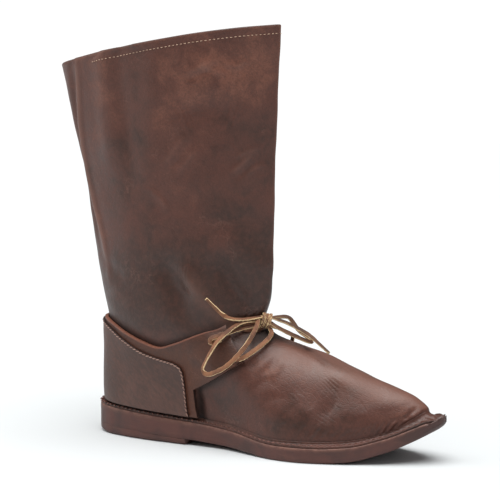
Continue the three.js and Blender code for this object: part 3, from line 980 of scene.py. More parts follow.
@dataclass(frozen=True)
class Finishes:
    """Every finish on the boot, made once."""

    upper: Material
    strap: Material
    counter: Material
    strap_edge: Material
    lining: Material
    sole: Material
    thong: Material
    hem_thread: Material
    counter_thread: Material
    welt_thread: Material

    @classmethod
    def made(cls) -> "Finishes":
        """Makes them all.

        Returns:
            The finishes.
        """
        return cls(
            upper=PullUpLeather("upper_leather").build(),
            strap=PullUpLeather(
                "strap_leather",
                dark=colour(58, 32, 22),
                body=colour(82, 46, 31),
                warm=colour(106, 63, 42),
                grain=800,
                grain_depth=0.16 * MM,
                gloss=0.5,
            ).build(),
            counter=PebbledLeather("counter_leather").build(),
            strap_edge=CutEdge("strap_cut_edge").build(),
            lining=Suede("flesh_side").build(),
            sole=SoleRubber("sole_edge").build(),
            thong=Thong("lace_thong").build(),
            hem_thread=Thread("hem_thread", colour(216, 184, 158), colour(156, 122, 100)).build(),
            counter_thread=Thread("counter_thread", colour(180, 144, 130), colour(104, 72, 62)).build(),
            welt_thread=Thread("welt_thread", colour(136, 90, 80), colour(84, 50, 44)).build(),
        )


@dataclass
class Lace:
    """The thong: ties and crossings through the strap's holes, the knot, and the bow's loops and ends."""

    form: BootForm
    finishes: Finishes
    width: float = 3.6 * MM
    thickness: float = 1.8 * MM
    step: float = 1.2 * MM
    corners: int = 16
    unevenness: float = 0.05
    slant: float = 0.62
    knot_place: Triple = (118.5, -5, 101.8)
    knot_turns: float = 2.7
    knot_steps: int = 96
    knot_pitch: float = 2.6
    knot_radii: tuple[float, float] = (3.7, 5.2)
    knot_strand: float = 2.6 * MM
    knot_core: Triple = (4.6 * MM, 3 * MM, 3.7 * MM)
    outer_loop: Way = (
        (111.5, -11, 101.4), (105.5, -25.5, 100.3), (98, -42.5, 90), (92.5, -47, 80),
        (87.5, -48, 70.5), (85.4, -47.6, 66), (87.4, -47.8, 62.8), (93, -48.4, 62.8),
        (105, -49, 68.4), (114, -46.5, 76.5), (119, -35, 87.5), (118, -20, 97.3),
        (115, -11, 102.2),
    )
    inner_loop: Way = (
        (122.4, -4.6, 103.6), (128, -1.5, 104.6), (134.5, 3, 104.2), (138.5, 5, 99.5),
        (144, 4, 93.6), (152, 1.5, 89.4), (158, -1.5, 86.9), (154, -4.5, 87.8), (140, -5, 92.6),
        (130, -5.5, 96.6), (122.6, -5.2, 100.2),
    )
    outer_end: Way = (
        (116.4, -7.6, 104.7), (112, -14.5, 103.9), (106.5, -23, 103.6), (101, -30.5, 104.8),
        (96.5, -36, 108.6), (92, -39.8, 114.2), (85.5, -42.5, 121),
    )
    inner_end: Way = (
        (122.5, -4.8, 104.9), (129, -3.5, 102.6), (139, -4, 100), (156, -5, 93.2), (167, -7, 86.5),
        (177, -10, 80.5),
    )
    tie: Way = (
        (94.5, -40.4, 88.3), (91, -43.6, 86.4), (90.6, -43.8, 89.6), (95, -41.6, 91.8),
        (107, -20.5, 96.6), (114, -8, 97.5), (118, 0, 96.6),
    )
    crossing: Way = (
        (112.5, -42.4, 75.4), (119.5, -37, 77.8), (127, -25, 86), (127, -11, 92.2), (118, 0, 96.6),
    )

    def strand(
        self,
        points: Sequence[Sequence[float]],
        facings: Sequence[Sequence[float]],
        taper: bool = False,
        width: float | None = None,
        pale: float = 0,
        darkness: float = 0,
    ) -> tuple[Mesh, np.ndarray]:
        """A flat thong along a smooth way.

        Args:
            points: The way's points in millimetres.
            facings: Which way the flat side faces, evenly along the way.
            taper: Whether the far end is cut to a slant.
            width: The thong's width, if not its usual one.
            pale: How much paler than usual it is.
            darkness: How much darker it is.

        Returns:
            The mesh and the middle line in metres.
        """
        line = smooth_path(points, self.step / MM) * MM
        way = unit(np.gradient(line, axis=0))
        shares = np.linspace(0, 1, len(line))
        facing = read_at(shares, np.linspace(0, 1, len(facings)), np.array(facings, float))
        across = unit(np.cross(facing, way))
        up = np.cross(way, across)
        # The powers below 1 square the round section off.
        angle = np.linspace(0, 2 * math.pi, self.corners + 1)
        flat = np.sign(np.cos(angle)) * np.abs(np.cos(angle)) ** 0.45 * (width or self.width) / 2
        thick = np.sign(np.sin(angle)) * np.abs(np.sin(angle)) ** 0.6 * self.thickness / 2
        wave = 1 + self.unevenness * np.sin(shares * len(line) * 0.9)[:, None]
        if taper:
            wave = wave * mix(1, self.slant, smooth(shares, 0.45, 1))[:, None]
        body = line[:, None] + across[:, None] * (flat * wave)[..., None] + up[:, None] * thick[None, :, None]
        edge = np.broadcast_to(np.abs(np.cos(angle)) ** 6, body.shape[:2]) + pale
        bm = grid(body, {"edge": edge, "shade": darkness * (1 - 0.75 * edge.clip(0, 1))})
        bmesh.ops.recalc_face_normals(bm, faces=bm.faces)
        ends = bmesh.ops.holes_fill(bm, edges=bm.edges, sides=self.corners)
        layer = bm.verts.layers.float["edge"]
        for face in ends["faces"]:
            for vert in face.verts:
                vert[layer] = 1
        bmesh.ops.recalc_face_normals(bm, faces=bm.faces)
        return bm, line

    def cord(self, name: str, points: Way, facings: Way, far_end: str, darkness: float = 0) -> None:
        """One free loop or end, as a cord that replaces its node.

        Args:
            name: The node's name.
            points: The cord's way in millimetres, as its solid has it.
            facings: Which way the flat side faces, evenly along the way.
            far_end: What its far end is.
            darkness: How much darker it is.
        """
        bm, line = self.strand(points, facings, far_end == "bare", darkness=darkness)
        piece = new_object(f"{name}_thong", bm, [self.finishes.thong])
        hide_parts(name)

    def build_cords(self) -> None:
        """Makes the bow's loops and ends."""
        out, up, front, aside = (0, -1, 0.25), (0, -0.25, 1), (0.8, 0, 0.6), (-0.75, -0.65, 0.2)
        near, risen = (0.3, -0.3, 1), (0.7, -0.5, 0.6)
        facings = (up, out, aside, (0.3, -1, 0.3), front, up)
        self.cord("lace_loop_outer", self.outer_loop, facings, "object")
        facings = (up, risen, (1, 0, 0.4), (0.3, -0.7, 0.8), up)
        self.cord("lace_loop_inner", self.inner_loop, facings, "object", 0.6)
        facings = (up, near, (-0.5, -1, 0.5), (-0.3, -1, 0.4))
        self.cord("lace_end_outer", self.outer_end, facings, "bare")
        facings = (up, near, (0.4, -0.6, 0.8), (0.5, -0.4, 0.7))
        self.cord("lace_end_inner", self.inner_end, facings, "bare", 0.7)

    def through(self, hole: EdgePoint, way: Way, side: Side) -> Way:
        """A run that starts inside a hole of the strap and follows its way out.

        Args:
            hole: The hole in side view.
            way: The way's points in millimetres for the outer side, the first in the hole.
            side: The side of the boot.

        Returns:
            The run's points in millimetres.
        """
        turn, level = self.form.spot(hole.forward * MM, hole.up * MM, side)
        inner, outer = (
            tuple(self.form.over(turn, level, self.form.gap + out) / MM) for out in (0.5 * MM, 3.6 * MM)
        )
        return (inner, outer, *[(x, y * -side.value, z) for x, y, z in way[1:]])

    def build_bars(self) -> None:
        """Makes the ties and crossings of both sides."""
        bm = bmesh.new()
        for side in Side:
            sign = side.value
            facings = ((0.3, sign, 0.5), (0.4, 0.8 * sign, 0.6), (0.5, 0, 0.9))
            for hole, way in zip(LACE_HOLES, (self.tie, self.crossing)):
                run, _ = self.strand(self.through(hole, way, side), facings)
                add_mesh(bm, run)
        piece = new_object("lace_bars_thong", bm, [self.finishes.thong])
        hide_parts("lace_bars")

    def build_knot(self) -> None:
        """Makes the knot: the thong wound round the bundle of strands that runs across the instep."""
        middle = np.array(self.knot_place)
        bundle, aside, up = np.array([0.87, 0.49, 0]), np.array([0.49, -0.87, 0]), np.array([0, 0, 1.0])
        wide, tall = self.knot_radii
        angle = np.linspace(0, self.knot_turns * 2 * math.pi, self.knot_steps) - 2.2
        drift = np.linspace(-0.5, 0.5, self.knot_steps) * self.knot_turns * self.knot_pitch
        drift = drift + 1.3 * np.sin(angle + 0.6)
        size = 1 + 0.12 * np.sin(angle * 0.63 + 1)
        ring = (np.cos(angle) * size)[:, None] * aside * wide + (np.sin(angle) * size)[:, None] * up * tall
        points = middle - 0.4 * up + bundle * drift[:, None] + ring
        facings = np.cos(angle)[:, None] * aside + np.sin(angle)[:, None] * up
        bm, _ = self.strand(points, facings, width=self.knot_strand, pale=0.42)
        turned = Matrix((bundle, -aside, up)).transposed().to_4x4()
        core = Matrix.Translation(Vector(middle * MM)) @ turned @ Matrix.Diagonal((*self.knot_core, 1))
        bmesh.ops.create_icosphere(bm, subdivisions=3, radius=1, matrix=core)
        piece = new_object("lace_knot_thong", bm, [self.finishes.thong])
        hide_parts("lace_knot")

    def build(self) -> None:
        """Makes every piece of the lace."""
        self.build_cords()
        self.build_bars()
        self.build_knot()


class Creases:
    """Every crease of the upper, with its way laid on the boot once."""

    def __init__(self, form: BootForm, creases: Sequence[Crease]) -> None:
        """Lays each crease's way on the upper's face.

        Args:
            form: The boot's form.
            creases: The creases.
        """
        self.creases = creases
        self.lines: list[np.ndarray] = [np.empty((0, 3))] * len(creases)
        for side in Side:
            chosen = [k for k, crease in enumerate(creases) if crease.side is side]
            ways = [smooth_path(creases[k].path, max(0.5, creases[k].width * 0.35)) * MM for k in chosen]
            every = np.concatenate(ways)
            laid = form.face(*form.spot(every[:, 0], every[:, 1], side))
            ends = np.cumsum([len(way) for way in ways])
            for k, line in zip(chosen, np.split(laid, ends[:-1])):
                self.lines[k] = line

    def at(self, points: np.ndarray) -> tuple[np.ndarray, np.ndarray]:
        """How far the creases lift each point, and how much burnish and painted highlight they leave on it.

        A crease fades towards both its ends.

        Args:
            points: Places on the upper, one in each row.

        Returns:
            The lift in metres and the burnish and painted highlight, one for each point.
        """
        lift, burnish_and_highlight = np.zeros(len(points)), np.zeros(len(points))
        for crease, line in zip(self.creases, self.lines):
            width = crease.width * MM
            reach = 2.6 * width
            near = np.all((points > line.min(0) - reach) & (points < line.max(0) + reach), axis=1)
            chosen = np.flatnonzero(near)
            if not len(chosen):
                continue
            apart = np.linalg.norm(points[chosen, None] - line[None], axis=2)
            share = np.linspace(0, 1, len(line))[apart.argmin(axis=1)]
            fade = smooth(share, -0.02, 0.3) * (1 - smooth(share, 0.7, 1.02))
            strength = fade * hump(apart.min(axis=1), 0, width)
            lift[chosen] += crease.rise * MM * strength
            burnish_and_highlight[chosen] += crease.burnish_and_highlight * strength
        return lift, burnish_and_highlight


def patched(patches: Sequence[Patch], points: np.ndarray) -> np.ndarray:
    """How warm or dark the listed patches make each point.

    Args:
        patches: The patches, each of which fades out softly over the boot's middle.
        points: Places on the upper, one in each row.

    Returns:
        The warmth at each point.
    """
    x, y, z = points.T / MM
    tone_and_shading = np.zeros(len(points))
    for patch in patches:
        spot = hump(x, patch.forward, patch.long) * hump(z, patch.up, patch.high)
        tone_and_shading += patch.tone_and_shading * spot * smooth(y * patch.side.value, -14, 12)
    return tone_and_shading


def on_side(kind: type, side: Side, *rows: tuple) -> tuple:
    """Creases or patches that lie on one side of the boot."""
    return tuple(kind(side, *row) for row in rows)


# Where a crease has a fifth number, it pales the leather along it: pull-up on the crests, and painted
# highlight on the strongest ridges.
LEG_CREASES = (
    *on_side(
        Crease,
        Side.OUTER,
        (((-55, 332), (-53, 305), (-53, 253), (-47, 211), (-32, 165), (-26, 140)), -3, 4.6),
        (((-45, 345), (-44, 305), (-45, 253), (-39, 211), (-22, 162), (-14, 112)), 2, 3.8, 1),
        (((-14, 375), (-12, 300), (-10, 250), (-4, 205)), 2.4, 11, 0.2),
        (((4, 375), (5, 305), (9, 265), (14, 228), (16, 190)), -1.8, 8),
        (((18, 375), (18, 305), (20, 265), (24, 228), (26, 190)), -1.6, 14),
        (((34, 318), (36, 280), (33, 235), (30, 190)), 1.2, 12),
        (((58, 150), (69, 133), (79, 117), (88, 103), (97, 91), (103, 83)), 4.6, 9, 0.55),
        (((86, 156), (95, 138), (104, 121), (112, 104)), -5, 8),
        (((38, 154), (49, 137), (60, 120), (71, 101)), -4.4, 10),
        (((90, 176), (103, 160), (114, 146), (118, 130)), 1.6, 10),
        (((94, 99), (102, 97), (110, 95), (117, 92)), -4.2, 4.5),
        (((60, 260), (84, 268), (108, 262)), -1.2, 12),
        (((64, 296), (78, 301), (92, 309)), 0.6, 2.4, 0.45),
        (((66, 291), (80, 296), (94, 303)), -0.5, 2),
        (((75, 305), (87, 299), (99, 295)), 0.6, 2.2, 0.45),
        (((93, 305), (103, 302), (112, 308)), 0.5, 2.2, 0.4),
        (((97, 217), (106, 226), (114, 236)), 0.7, 2.4, 0.5),
        (((100, 213), (109, 221), (117, 230)), -0.6, 2),
        (((101, 230), (110, 236), (119, 239)), 0.6, 2.2, 0.4),
        (((107, 216), (114, 223), (121, 225)), 0.6, 2, 0.4),
        (((68, 251), (58, 238), (46, 223)), 0.6, 2.6, 0.4),
        (((72, 246), (63, 233), (53, 221)), -0.5, 2.2),
        (((76, 240), (67, 228), (58, 217)), 0.5, 2.2, 0.35),
        (((30, 208), (43, 198), (52, 186)), 0.6, 3, 0.35),
        (((-24, 150), (-10, 138), (6, 132)), -1, 6),
        (((-18, 124), (-4, 118), (14, 108)), 1, 7, 0.3),
    ),
    *on_side(
        Crease,
        Side.INNER,
        (((-57, 332), (-55, 305), (-54, 253), (-47, 211), (-33, 165)), -2.8, 5),
        (((-46, 375), (-45, 305), (-44, 250), (-37, 205), (-20, 160)), 1.8, 5, 0.3),
        (((16, 316), (18, 270), (14, 225)), -1.8, 12),
        (((52, 300), (60, 262), (58, 222)), 1.2, 12),
        (((50, 146), (64, 130), (76, 116), (84, 103)), 2.6, 7, 0.6),
        (((66, 154), (80, 138), (92, 118), (100, 104)), -2.8, 8),
        (((30, 140), (46, 126), (60, 108)), -1.8, 8),
        (((84, 190), (100, 170), (112, 148)), 1.4, 10),
        (((94, 99), (102, 97), (110, 95), (117, 92)), -3.6, 4.5),
        (((70, 288), (84, 294), (98, 302)), 0.6, 2.6, 0.4),
        (((88, 222), (100, 230), (112, 240)), 0.6, 2.4, 0.4),
        (((40, 236), (54, 226), (64, 212)), 0.6, 2.8, 0.35),
    ),
)

FOOT_CREASES = (
    *on_side(
        Crease,
        Side.OUTER,
        (((73, 0), (73, 18), (72, 34), (70, 50)), -3.6, 4.4),
        (((150, 80), (170, 72), (190, 61), (210, 52), (232, 44)), 0.7, 8, 0.15),
        (((178, 60), (188, 54), (189, 46), (185, 38), (180, 28)), -1.8, 7),
        (((187, 56), (190, 49), (188, 41), (184, 34)), -0.34, 1.1),
        (((191, 54), (194, 47), (193, 40)), 0.17, 1.3, 0.1),
        (((198, 51), (200, 44), (199, 37)), 0.15, 1.3, 0.1),
        (((206, 47), (209, 42), (208, 37)), -0.19, 1.2),
        (((183, 57), (184, 49), (181, 42)), 0.15, 1.4, 0.1),
        (((172, 54), (174, 46), (171, 39)), -0.19, 1.3),
        (((158, 52), (166, 42), (172, 32)), 0.5, 7),
        (((196, 34), (206, 36), (218, 36)), 0.4, 6),
        (((237, 33), (242, 38), (246, 43)), -0.82, 1.5),
        (((241, 33), (246, 37), (250, 41)), 0.46, 1.5, 0.3),
        (((243, 31), (248, 36), (252, 40)), -0.56, 1.2),
        (((228, 32), (236, 34), (244, 36)), -0.56, 1.4),
        (((216, 20), (219, 26), (221, 33)), -0.61, 1.2),
        (((221, 21), (224, 27), (227, 33)), -0.66, 1.2),
        (((225, 22), (228, 28), (232, 34)), -0.77, 1.2),
        (((223, 22), (226, 28), (229, 33)), 0.41, 1.2, 0.25),
        (((229, 23), (233, 29), (238, 34)), -0.71, 1.2),
        (((227, 23), (231, 29), (235, 34)), 0.41, 1.2, 0.25),
        (((234, 25), (239, 30), (245, 35)), -0.71, 1.2),
        (((239, 27), (244, 32), (250, 36)), -0.61, 1.2),
        (((212, 20), (215, 25), (217, 30)), -0.51, 1.2),
        (((208, 19), (211, 24), (213, 28)), -0.46, 1.2),
        (((203, 18), (206, 23), (209, 27)), -0.46, 1.3),
        (((196, 18), (200, 22), (206, 26)), -0.46, 1.3),
        (((190, 18), (194, 23), (198, 27)), -0.46, 1.3),
        (((184, 18), (187, 23), (191, 27)), -0.41, 1.3),
        (((178, 18), (181, 24), (184, 29)), -0.56, 1.3),
        (((172, 18), (175, 25), (179, 32)), -0.56, 1.3),
        (((175, 18), (178, 24), (182, 30)), 0.36, 1.3, 0.2),
        (((166, 18), (168, 24), (172, 29)), -0.41, 1.4),
        (((158, 18), (161, 24), (165, 29)), -0.41, 1.4),
        (((150, 19), (152, 25), (156, 30)), -0.41, 1.5),
        (((140, 19), (142, 25), (146, 29)), -0.45, 1.6),
        (((120, 66), (126, 73), (130, 82)), -0.8, 2.2),
        (((126, 64), (131, 71), (135, 80)), 0.55, 2.2, 0.4),
        (((131, 62), (136, 70), (138, 79)), -0.6, 2),
        (((137, 60), (142, 68), (143, 77)), 0.7, 2.4, 0.3),
        (((122, 50), (131, 57), (141, 62)), -0.5, 2.2),
        (((128, 45), (136, 51), (146, 54)), 0.4, 2.6, 0.25),
        (((132, 40), (142, 46), (154, 48)), -0.4, 2.4),
    ),
    *on_side(
        Crease,
        Side.INNER,
        (((73, 0), (73, 18), (72, 34), (70, 50)), -3.4, 4.4),
        (((150, 80), (170, 72), (192, 61), (214, 52)), 0.8, 8, 0.3),
        (((172, 60), (180, 50), (178, 38), (172, 28)), -2.2, 6),
        (((182, 56), (185, 48), (182, 40)), -0.28, 1.2),
        (((188, 54), (191, 46), (188, 39)), -0.28, 1.2),
        (((185, 55), (188, 47), (185, 40)), 0.15, 1.3, 0.1),
        (((196, 50), (199, 43), (196, 37)), -0.25, 1.2),
        (((206, 19), (209, 25), (211, 31)), -0.51, 1.3),
        (((214, 20), (217, 26), (219, 33)), -0.61, 1.3),
        (((222, 22), (225, 28), (228, 35)), -0.66, 1.3),
        (((230, 24), (234, 30), (238, 36)), -0.66, 1.3),
        (((238, 27), (243, 32), (248, 37)), -0.61, 1.3),
        (((198, 18), (201, 24), (204, 29)), -0.46, 1.4),
        (((188, 18), (190, 24), (193, 30)), -0.46, 1.4),
        (((170, 18), (173, 25), (176, 31)), -0.46, 1.4),
        (((156, 18), (158, 25), (161, 31)), -0.41, 1.5),
        (((122, 66), (128, 73), (132, 82)), -0.7, 2.2),
        (((128, 64), (133, 71), (136, 80)), 0.5, 2.2, 0.4),
    ),
)

# Some patches are the leather's own mottling; the broad warm ones high on the leg are partly painted
# highlight, and the dark ones low on the leg and over the ankle are painted shade.
PATCHES = (
    *on_side(
        Patch,
        Side.OUTER,
        (92, 302, 22, 12, 0.9),
        (112, 285, 16, 18, 0.9),
        (70, 288, 16, 20, 0.5),
        (118, 310, 8, 14, 0.5),
        (60, 235, 22, 26, 0.35),
        (52, 190, 16, 26, 0.5),
        (20, 300, 14, 40, -0.5),
        (100, 262, 22, 16, -0.6),
        (30, 250, 14, 34, -0.4),
        (108, 190, 18, 24, -0.5),
        (88, 128, 30, 24, -0.9),
        (30, 120, 34, 22, -0.5),
        (-22, 170, 12, 40, 0.5),
        (140, 66, 18, 14, 0.7),
        (172, 60, 24, 14, 0.4),
        (215, 44, 26, 12, 0.35),
        (185, 34, 22, 10, -0.5),
        (112, 38, 42, 18, -0.9),
        (175, 26, 40, 9, -0.7),
        (108, 130, 14, 34, -1),
        (54, 126, 15, 24, -0.9),
    ),
    *on_side(
        Patch,
        Side.INNER,
        (90, 300, 24, 14, 0.7),
        (60, 230, 24, 30, 0.4),
        (20, 290, 16, 36, -0.5),
        (88, 128, 30, 24, -0.8),
        (150, 62, 22, 14, 0.5),
        (185, 34, 22, 10, -0.5),
    ),
)


@dataclass
class Upper:
    """The leg and foot: one creased wall with its lining, turned out edge, back seam and stitches."""

    form: BootForm
    finishes: Finishes
    columns: int = 400
    lining_rows: int = 24
    slack_passes: int = 60
    flange_inset: float = 0.6 * MM
    welt_pitch: float = 4.6 * MM
    hem_drop: float = 6 * MM
    hem_pitch: float = 3.3 * MM
    seam_depth: float = 3.3 * MM
    ply: float = 1.7 * MM
    swell: float = 0.45 * MM
    ripple: float = 0.14 * MM
    strap_roll: float = 1.8 * MM
    front_ridge: float = 0.8 * MM
    tip_curl: float = 1.8 * MM
    scallop: float = 0.25 * MM
    fine_stitch: Triple = (3.4 * MM, 0.8 * MM, 0.7 * MM)
    coarse_stitch: Triple = (4.8 * MM, 1.4 * MM, 1.3 * MM)
    hem_stitch: Triple = (2 * MM, 0.6 * MM, 0.55 * MM)
    strap_top: tuple[EdgePoint, ...] = (*STRAP_CREST, EdgePoint(94, 97))
    rows: tuple[tuple[float, float, int], ...] = (
        (0.0, 0.5, 3),
        (0.5, 3, 34),
        (3, 8, 40),
        (8, 10, 14),
        (10, 11, 14),
        (11, 12, 32),
        (12, 13, 38),
        (13, 14, 32),
    )

    def __post_init__(self) -> None:
        """Lays the creases."""
        self.creases = Creases(self.form, LEG_CREASES + FOOT_CREASES)

    def front_turns(self, count: int) -> np.ndarray:
        """Turns all round, set closer together over the front half, where the fine creases are.

        Args:
            count: How many steps there are all round.

        Returns:
            One more turn than steps.
        """
        u = np.linspace(0, 1, 2001)
        weight = 0.45 + 1.1 * smooth(np.minimum(u, 1 - u), 0.18, 0.3)
        total = np.r_[0, np.cumsum((weight[1:] + weight[:-1]) / 2)]
        return np.interp(np.linspace(0, total[-1], count + 1), total, u)

    def shaded(self, points: np.ndarray) -> np.ndarray:
        """How far painted shade darkens the upper: contact shadows along the strap and the turned out edge,
        and the shadow under the knot.

        Args:
            points: Places on the upper, one in each row.

        Returns:
            The darkening at each point.
        """
        x, _, z = points.T / MM
        over = z - np.interp(x, *np.array(self.strap_top).T)
        by_top = 0.55 * hump(over, 1, 3.2) * (1 - smooth(x, 90, 100))
        by_front = 0.85 * hump(x, 73, mix(6.5, 3, smooth(z, 22, 44))) * (1 - smooth(z, 40, 52))
        wing = 46 + (x - 69) * 0.55
        by_wing = 0.6 * hump(z, wing - 2, 2.6) * smooth(x, 68, 74) * (1 - smooth(x, 108, 118))
        by_edge = 0.5 * hump(z, self.form.flange_top(x * MM) / MM + 1.2, 1.6)
        by_knot = 0.85 * hump(x, 121, 10) * hump(z, 91.5, 6)
        return np.clip(by_top + by_front + by_wing + by_edge + by_knot, 0, 0.9)

    def lifted(self, turn: np.ndarray, level: np.ndarray) -> tuple[np.ndarray, np.ndarray, np.ndarray]:
        """The creased outer face.

        Args:
            turn: From 0 at the back, round the outer side, to 1.
            level: From 0 at the sole to the collar's level.

        Returns:
            The places, their burnish and painted highlight, and their tone and painted shading.
        """
        base, normal = self.form.face(turn, level), self.form.normal(turn, level)
        flat = base.reshape(-1, 3)
        lift, burnish_and_highlight = self.creases.at(flat)
        x, y, z = flat.T / MM
        swell = np.sin(x / 17 + z / 23) * np.sin(z / 19 - x / 31 + 1.3 * (2 * smooth(y, -16, 16) - 1))
        ripple = np.sin(x / 7.3 - z / 9.1 + 0.7) * np.sin(z / 6.7 + x / 11.3)
        lift += (self.swell * swell + self.ripple * ripple) * smooth(z, 26, 60)
        # Under the strap and just over it, nothing stands out.
        over = z - np.interp(x, *np.array(self.strap_top).T)
        aside = 1 - smooth(x, 96, 116)
        held = smooth(over, 0, 9) * aside + 1 - aside
        lift = np.where(lift > 0, lift * held, lift)
        lift += self.strap_roll * hump(over, 11, 7) * (1 - smooth(x, 60, 90)) * smooth(x, -34, -10)
        front = hump(turn.ravel(), 0.5, 0.011) * smooth(z, 125, 150)
        lift += self.front_ridge * front
        burnish_and_highlight *= mix(0.3, 1, smooth(z, 60, 105))
        # Painted highlights on the upward faces of the vamp and toe, down the leg's front fold and along the
        # collar's top edge.
        burnish_and_highlight += 0.9 * smooth(normal.reshape(-1, 3)[:, 2], 0.35, 0.8) * smooth(x, 122, 145)
        collar = self.form.last_level
        burnish_and_highlight += 0.7 * front + 0.5 * smooth(level.ravel(), collar - 0.035, collar)
        places = base + normal * lift.reshape(turn.shape)[..., None]
        # Painted shading: the leg grows lighter towards the collar, and darker low on the leg and over the
        # ankle.
        tone_and_shading = patched(PATCHES, flat) + 0.8 * smooth(z, 215, 325)
        tone_and_shading -= 0.9 * (1 - smooth(z, 120, 215)) * smooth(z, 84, 100) * (1 - smooth(x, 118, 130))
        return places, burnish_and_highlight.reshape(turn.shape), tone_and_shading.reshape(turn.shape)

    def build_wall(self) -> None:
        """Makes the creased wall with its rounded collar and its lining."""
        form, top = self.form, float(self.form.last_level)
        levels = np.concatenate([np.linspace(a, b, n, endpoint=False) for a, b, n in self.rows] + [[top]])
        round_turns = self.front_turns(self.columns)
        turn, level = np.meshgrid(round_turns, levels)
        outer, burnish_and_highlight, tone_and_shading = self.lifted(turn, np.maximum(level, form.footing))
        # Behind the strap the sharp bend from foot to leg is eased.
        loose = smooth(level, 5.5, 7.5) * (1 - smooth(level, 9, 10.2))
        loose = (loose * (1 - smooth(outer[..., 0], 0.085, 0.105)))[1:-1, :, None]
        for _ in range(self.slack_passes):
            outer[1:-1] += loose * ((outer[:-2] + outer[2:]) / 2 - outer[1:-1]) * 0.9
        low = np.clip(level / 0.5, 0, 1)[..., None]
        foot = form.footing_ring(turn, np.zeros_like(turn))
        foot[..., 2] -= 0.8 * MM
        outer = np.where(low < 1, mix(foot, outer, low), outer)
        normal = form.normal(turn[-1], level[-1])
        rim = []
        for arc in np.linspace(0, math.pi, 7)[1:-1]:
            raised = np.array([0, 0, 0.5 * form.wall * math.sin(arc)])
            rim.append(outer[-1] + normal * form.wall * (math.cos(arc) - 1) / 2 + raised)
        # The lining follows the creases in the leg, and lies further in where the foot is.
        down = np.r_[np.linspace(top, 10, self.lining_rows), np.linspace(10, 0.5, 8)[1:]]
        in_turn, in_level = np.meshgrid(round_turns, down)
        plain = form.face(in_turn, in_level)
        inner, _, _ = self.lifted(in_turn, in_level)
        in_leg = smooth(plain[..., 2], 0.115, 0.15)
        inner = mix(plain, inner, in_leg[..., None])
        inner = inner - form.normal(in_turn, in_level) * (form.wall + mix(4.5, 0.9, in_leg) * MM)[..., None]
        floor = form.footing_ring(turn[:1], np.full_like(turn[:1], -form.wall))
        points = np.concatenate([outer, np.array(rim), inner, floor, outer[:1]])
        inside = np.zeros(points.shape[:2])
        inside[len(outer) + len(rim) :] = 1
        marks = {"burnish_and_highlight": burnish_and_highlight, "tone_and_shading": tone_and_shading}
        marks["shade"] = self.shaded(outer.reshape(-1, 3)).reshape(turn.shape)
        blank = np.zeros((len(points) - len(outer), turn.shape[1]))
        marks = {name: np.vstack([values, blank]) for name, values in marks.items()}
        bm = grid(points, marks | {"inside": inside})
        layer = bm.verts.layers.float["inside"]
        for face in bm.faces:
            face.material_index = int(all(v[layer] > 0.5 for v in face.verts))
        piece = new_object("upper_wall", bm, [self.finishes.upper, self.finishes.lining])
        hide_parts("upper")

    def fillet(self, turn: np.ndarray) -> np.ndarray:
        """How high the turned out edge runs up the wall: low at the heel and high at the toe's tip."""
        share = (1 - np.cos(turn * 2 * math.pi)) / 2
        return (0.6 + 1.3 * smooth(share, 0.3, 0.45) + 4.5 * smooth(share, 0.92, 1)) * MM

    def build_flange(self) -> None:
        """Makes the turned out edge, which runs into the wall and is drawn down at each stitch."""
        form = self.form
        turn = even_turns(900)
        along = run_of(form.sole_ring(turn))
        count = round(along[-1] / self.welt_pitch)
        wave = np.cos(2 * math.pi * count * along / along[-1])
        rise = self.fillet(turn)
        foot = form.footing_ring(turn, np.zeros_like(turn))
        level = form.level_at(turn, form.flange_top(foot[:, 0]) + rise)
        high, _, _ = self.lifted(turn, level)
        rows = [high - form.normal(turn, level) * 0.8 * MM, high]
        outer = form.sole_ring(turn, self.flange_inset + 0.2 * MM * smooth(wave, 0, 1))
        across = outer - foot[:, :2]
        width = np.linalg.norm(across, axis=1)
        flat = np.minimum(0.6 * width, rise)
        landing = foot[:, :2] + across * (flat / width)[:, None]
        low = np.column_stack([landing, form.flange_top(landing[:, 0]) - self.scallop])
        corner = np.column_stack([foot[:, :2], low[:, 2]])
        for t in (0.15, 0.3, 0.45, 0.6, 0.8, 1):
            row = high * (1 - t) ** 2 + corner * 2 * t * (1 - t) + low * t**2
            row[:, 2] += self.scallop * t * wave
            rows.append(row)
        # Past the tip the edge curls up a little on the inner side.
        curl = self.tip_curl * smooth(turn, 0.504, 0.535) * (1 - smooth(turn, 0.57, 0.62))
        # Each later row: its share of the way on to the edge, its height in thicknesses, and its scallop.
        later = (
            (0.3, 0.8, 1), (0.6, 0.84, 0.8), (0.85, 0.84, 0.5), (0.97, 0.66, 0.3), (1, 0.35, 0.1),
            (0.99, -0.14, 0), (0, -0.14, 0),
        )
        for share, tall, draw in later:
            spread = mix(landing, outer, share)
            z = form.sole_top(spread[:, 0]) + form.gap + tall * form.flange_thickness + 0.3 * MM * draw * wave
            rows.append(np.column_stack([spread, z - form.tip_drop(spread[:, 0]) + curl * share]))
        points = np.array(rows)[::-1]
        zeros = np.zeros(points.shape[:2])
        # The turned out edge is a little darker all round, and darker still at the heel as painted shade for
        # the dark gap under the counter.
        dull = zeros - 0.5 - 1.2 * (1 - smooth(points[..., 0], 0.05, 0.09))
        shade = zeros + 0.55 * smooth(points[..., 0], 0.225, 0.245)
        shade[4:] = 0
        bm = grid(points, {"burnish_and_highlight": zeros, "tone_and_shading": dull, "shade": shade})
        bmesh.ops.recalc_face_normals(bm, faces=bm.faces)
        piece = new_object("upper_turned_edge", bm, [self.finishes.upper])

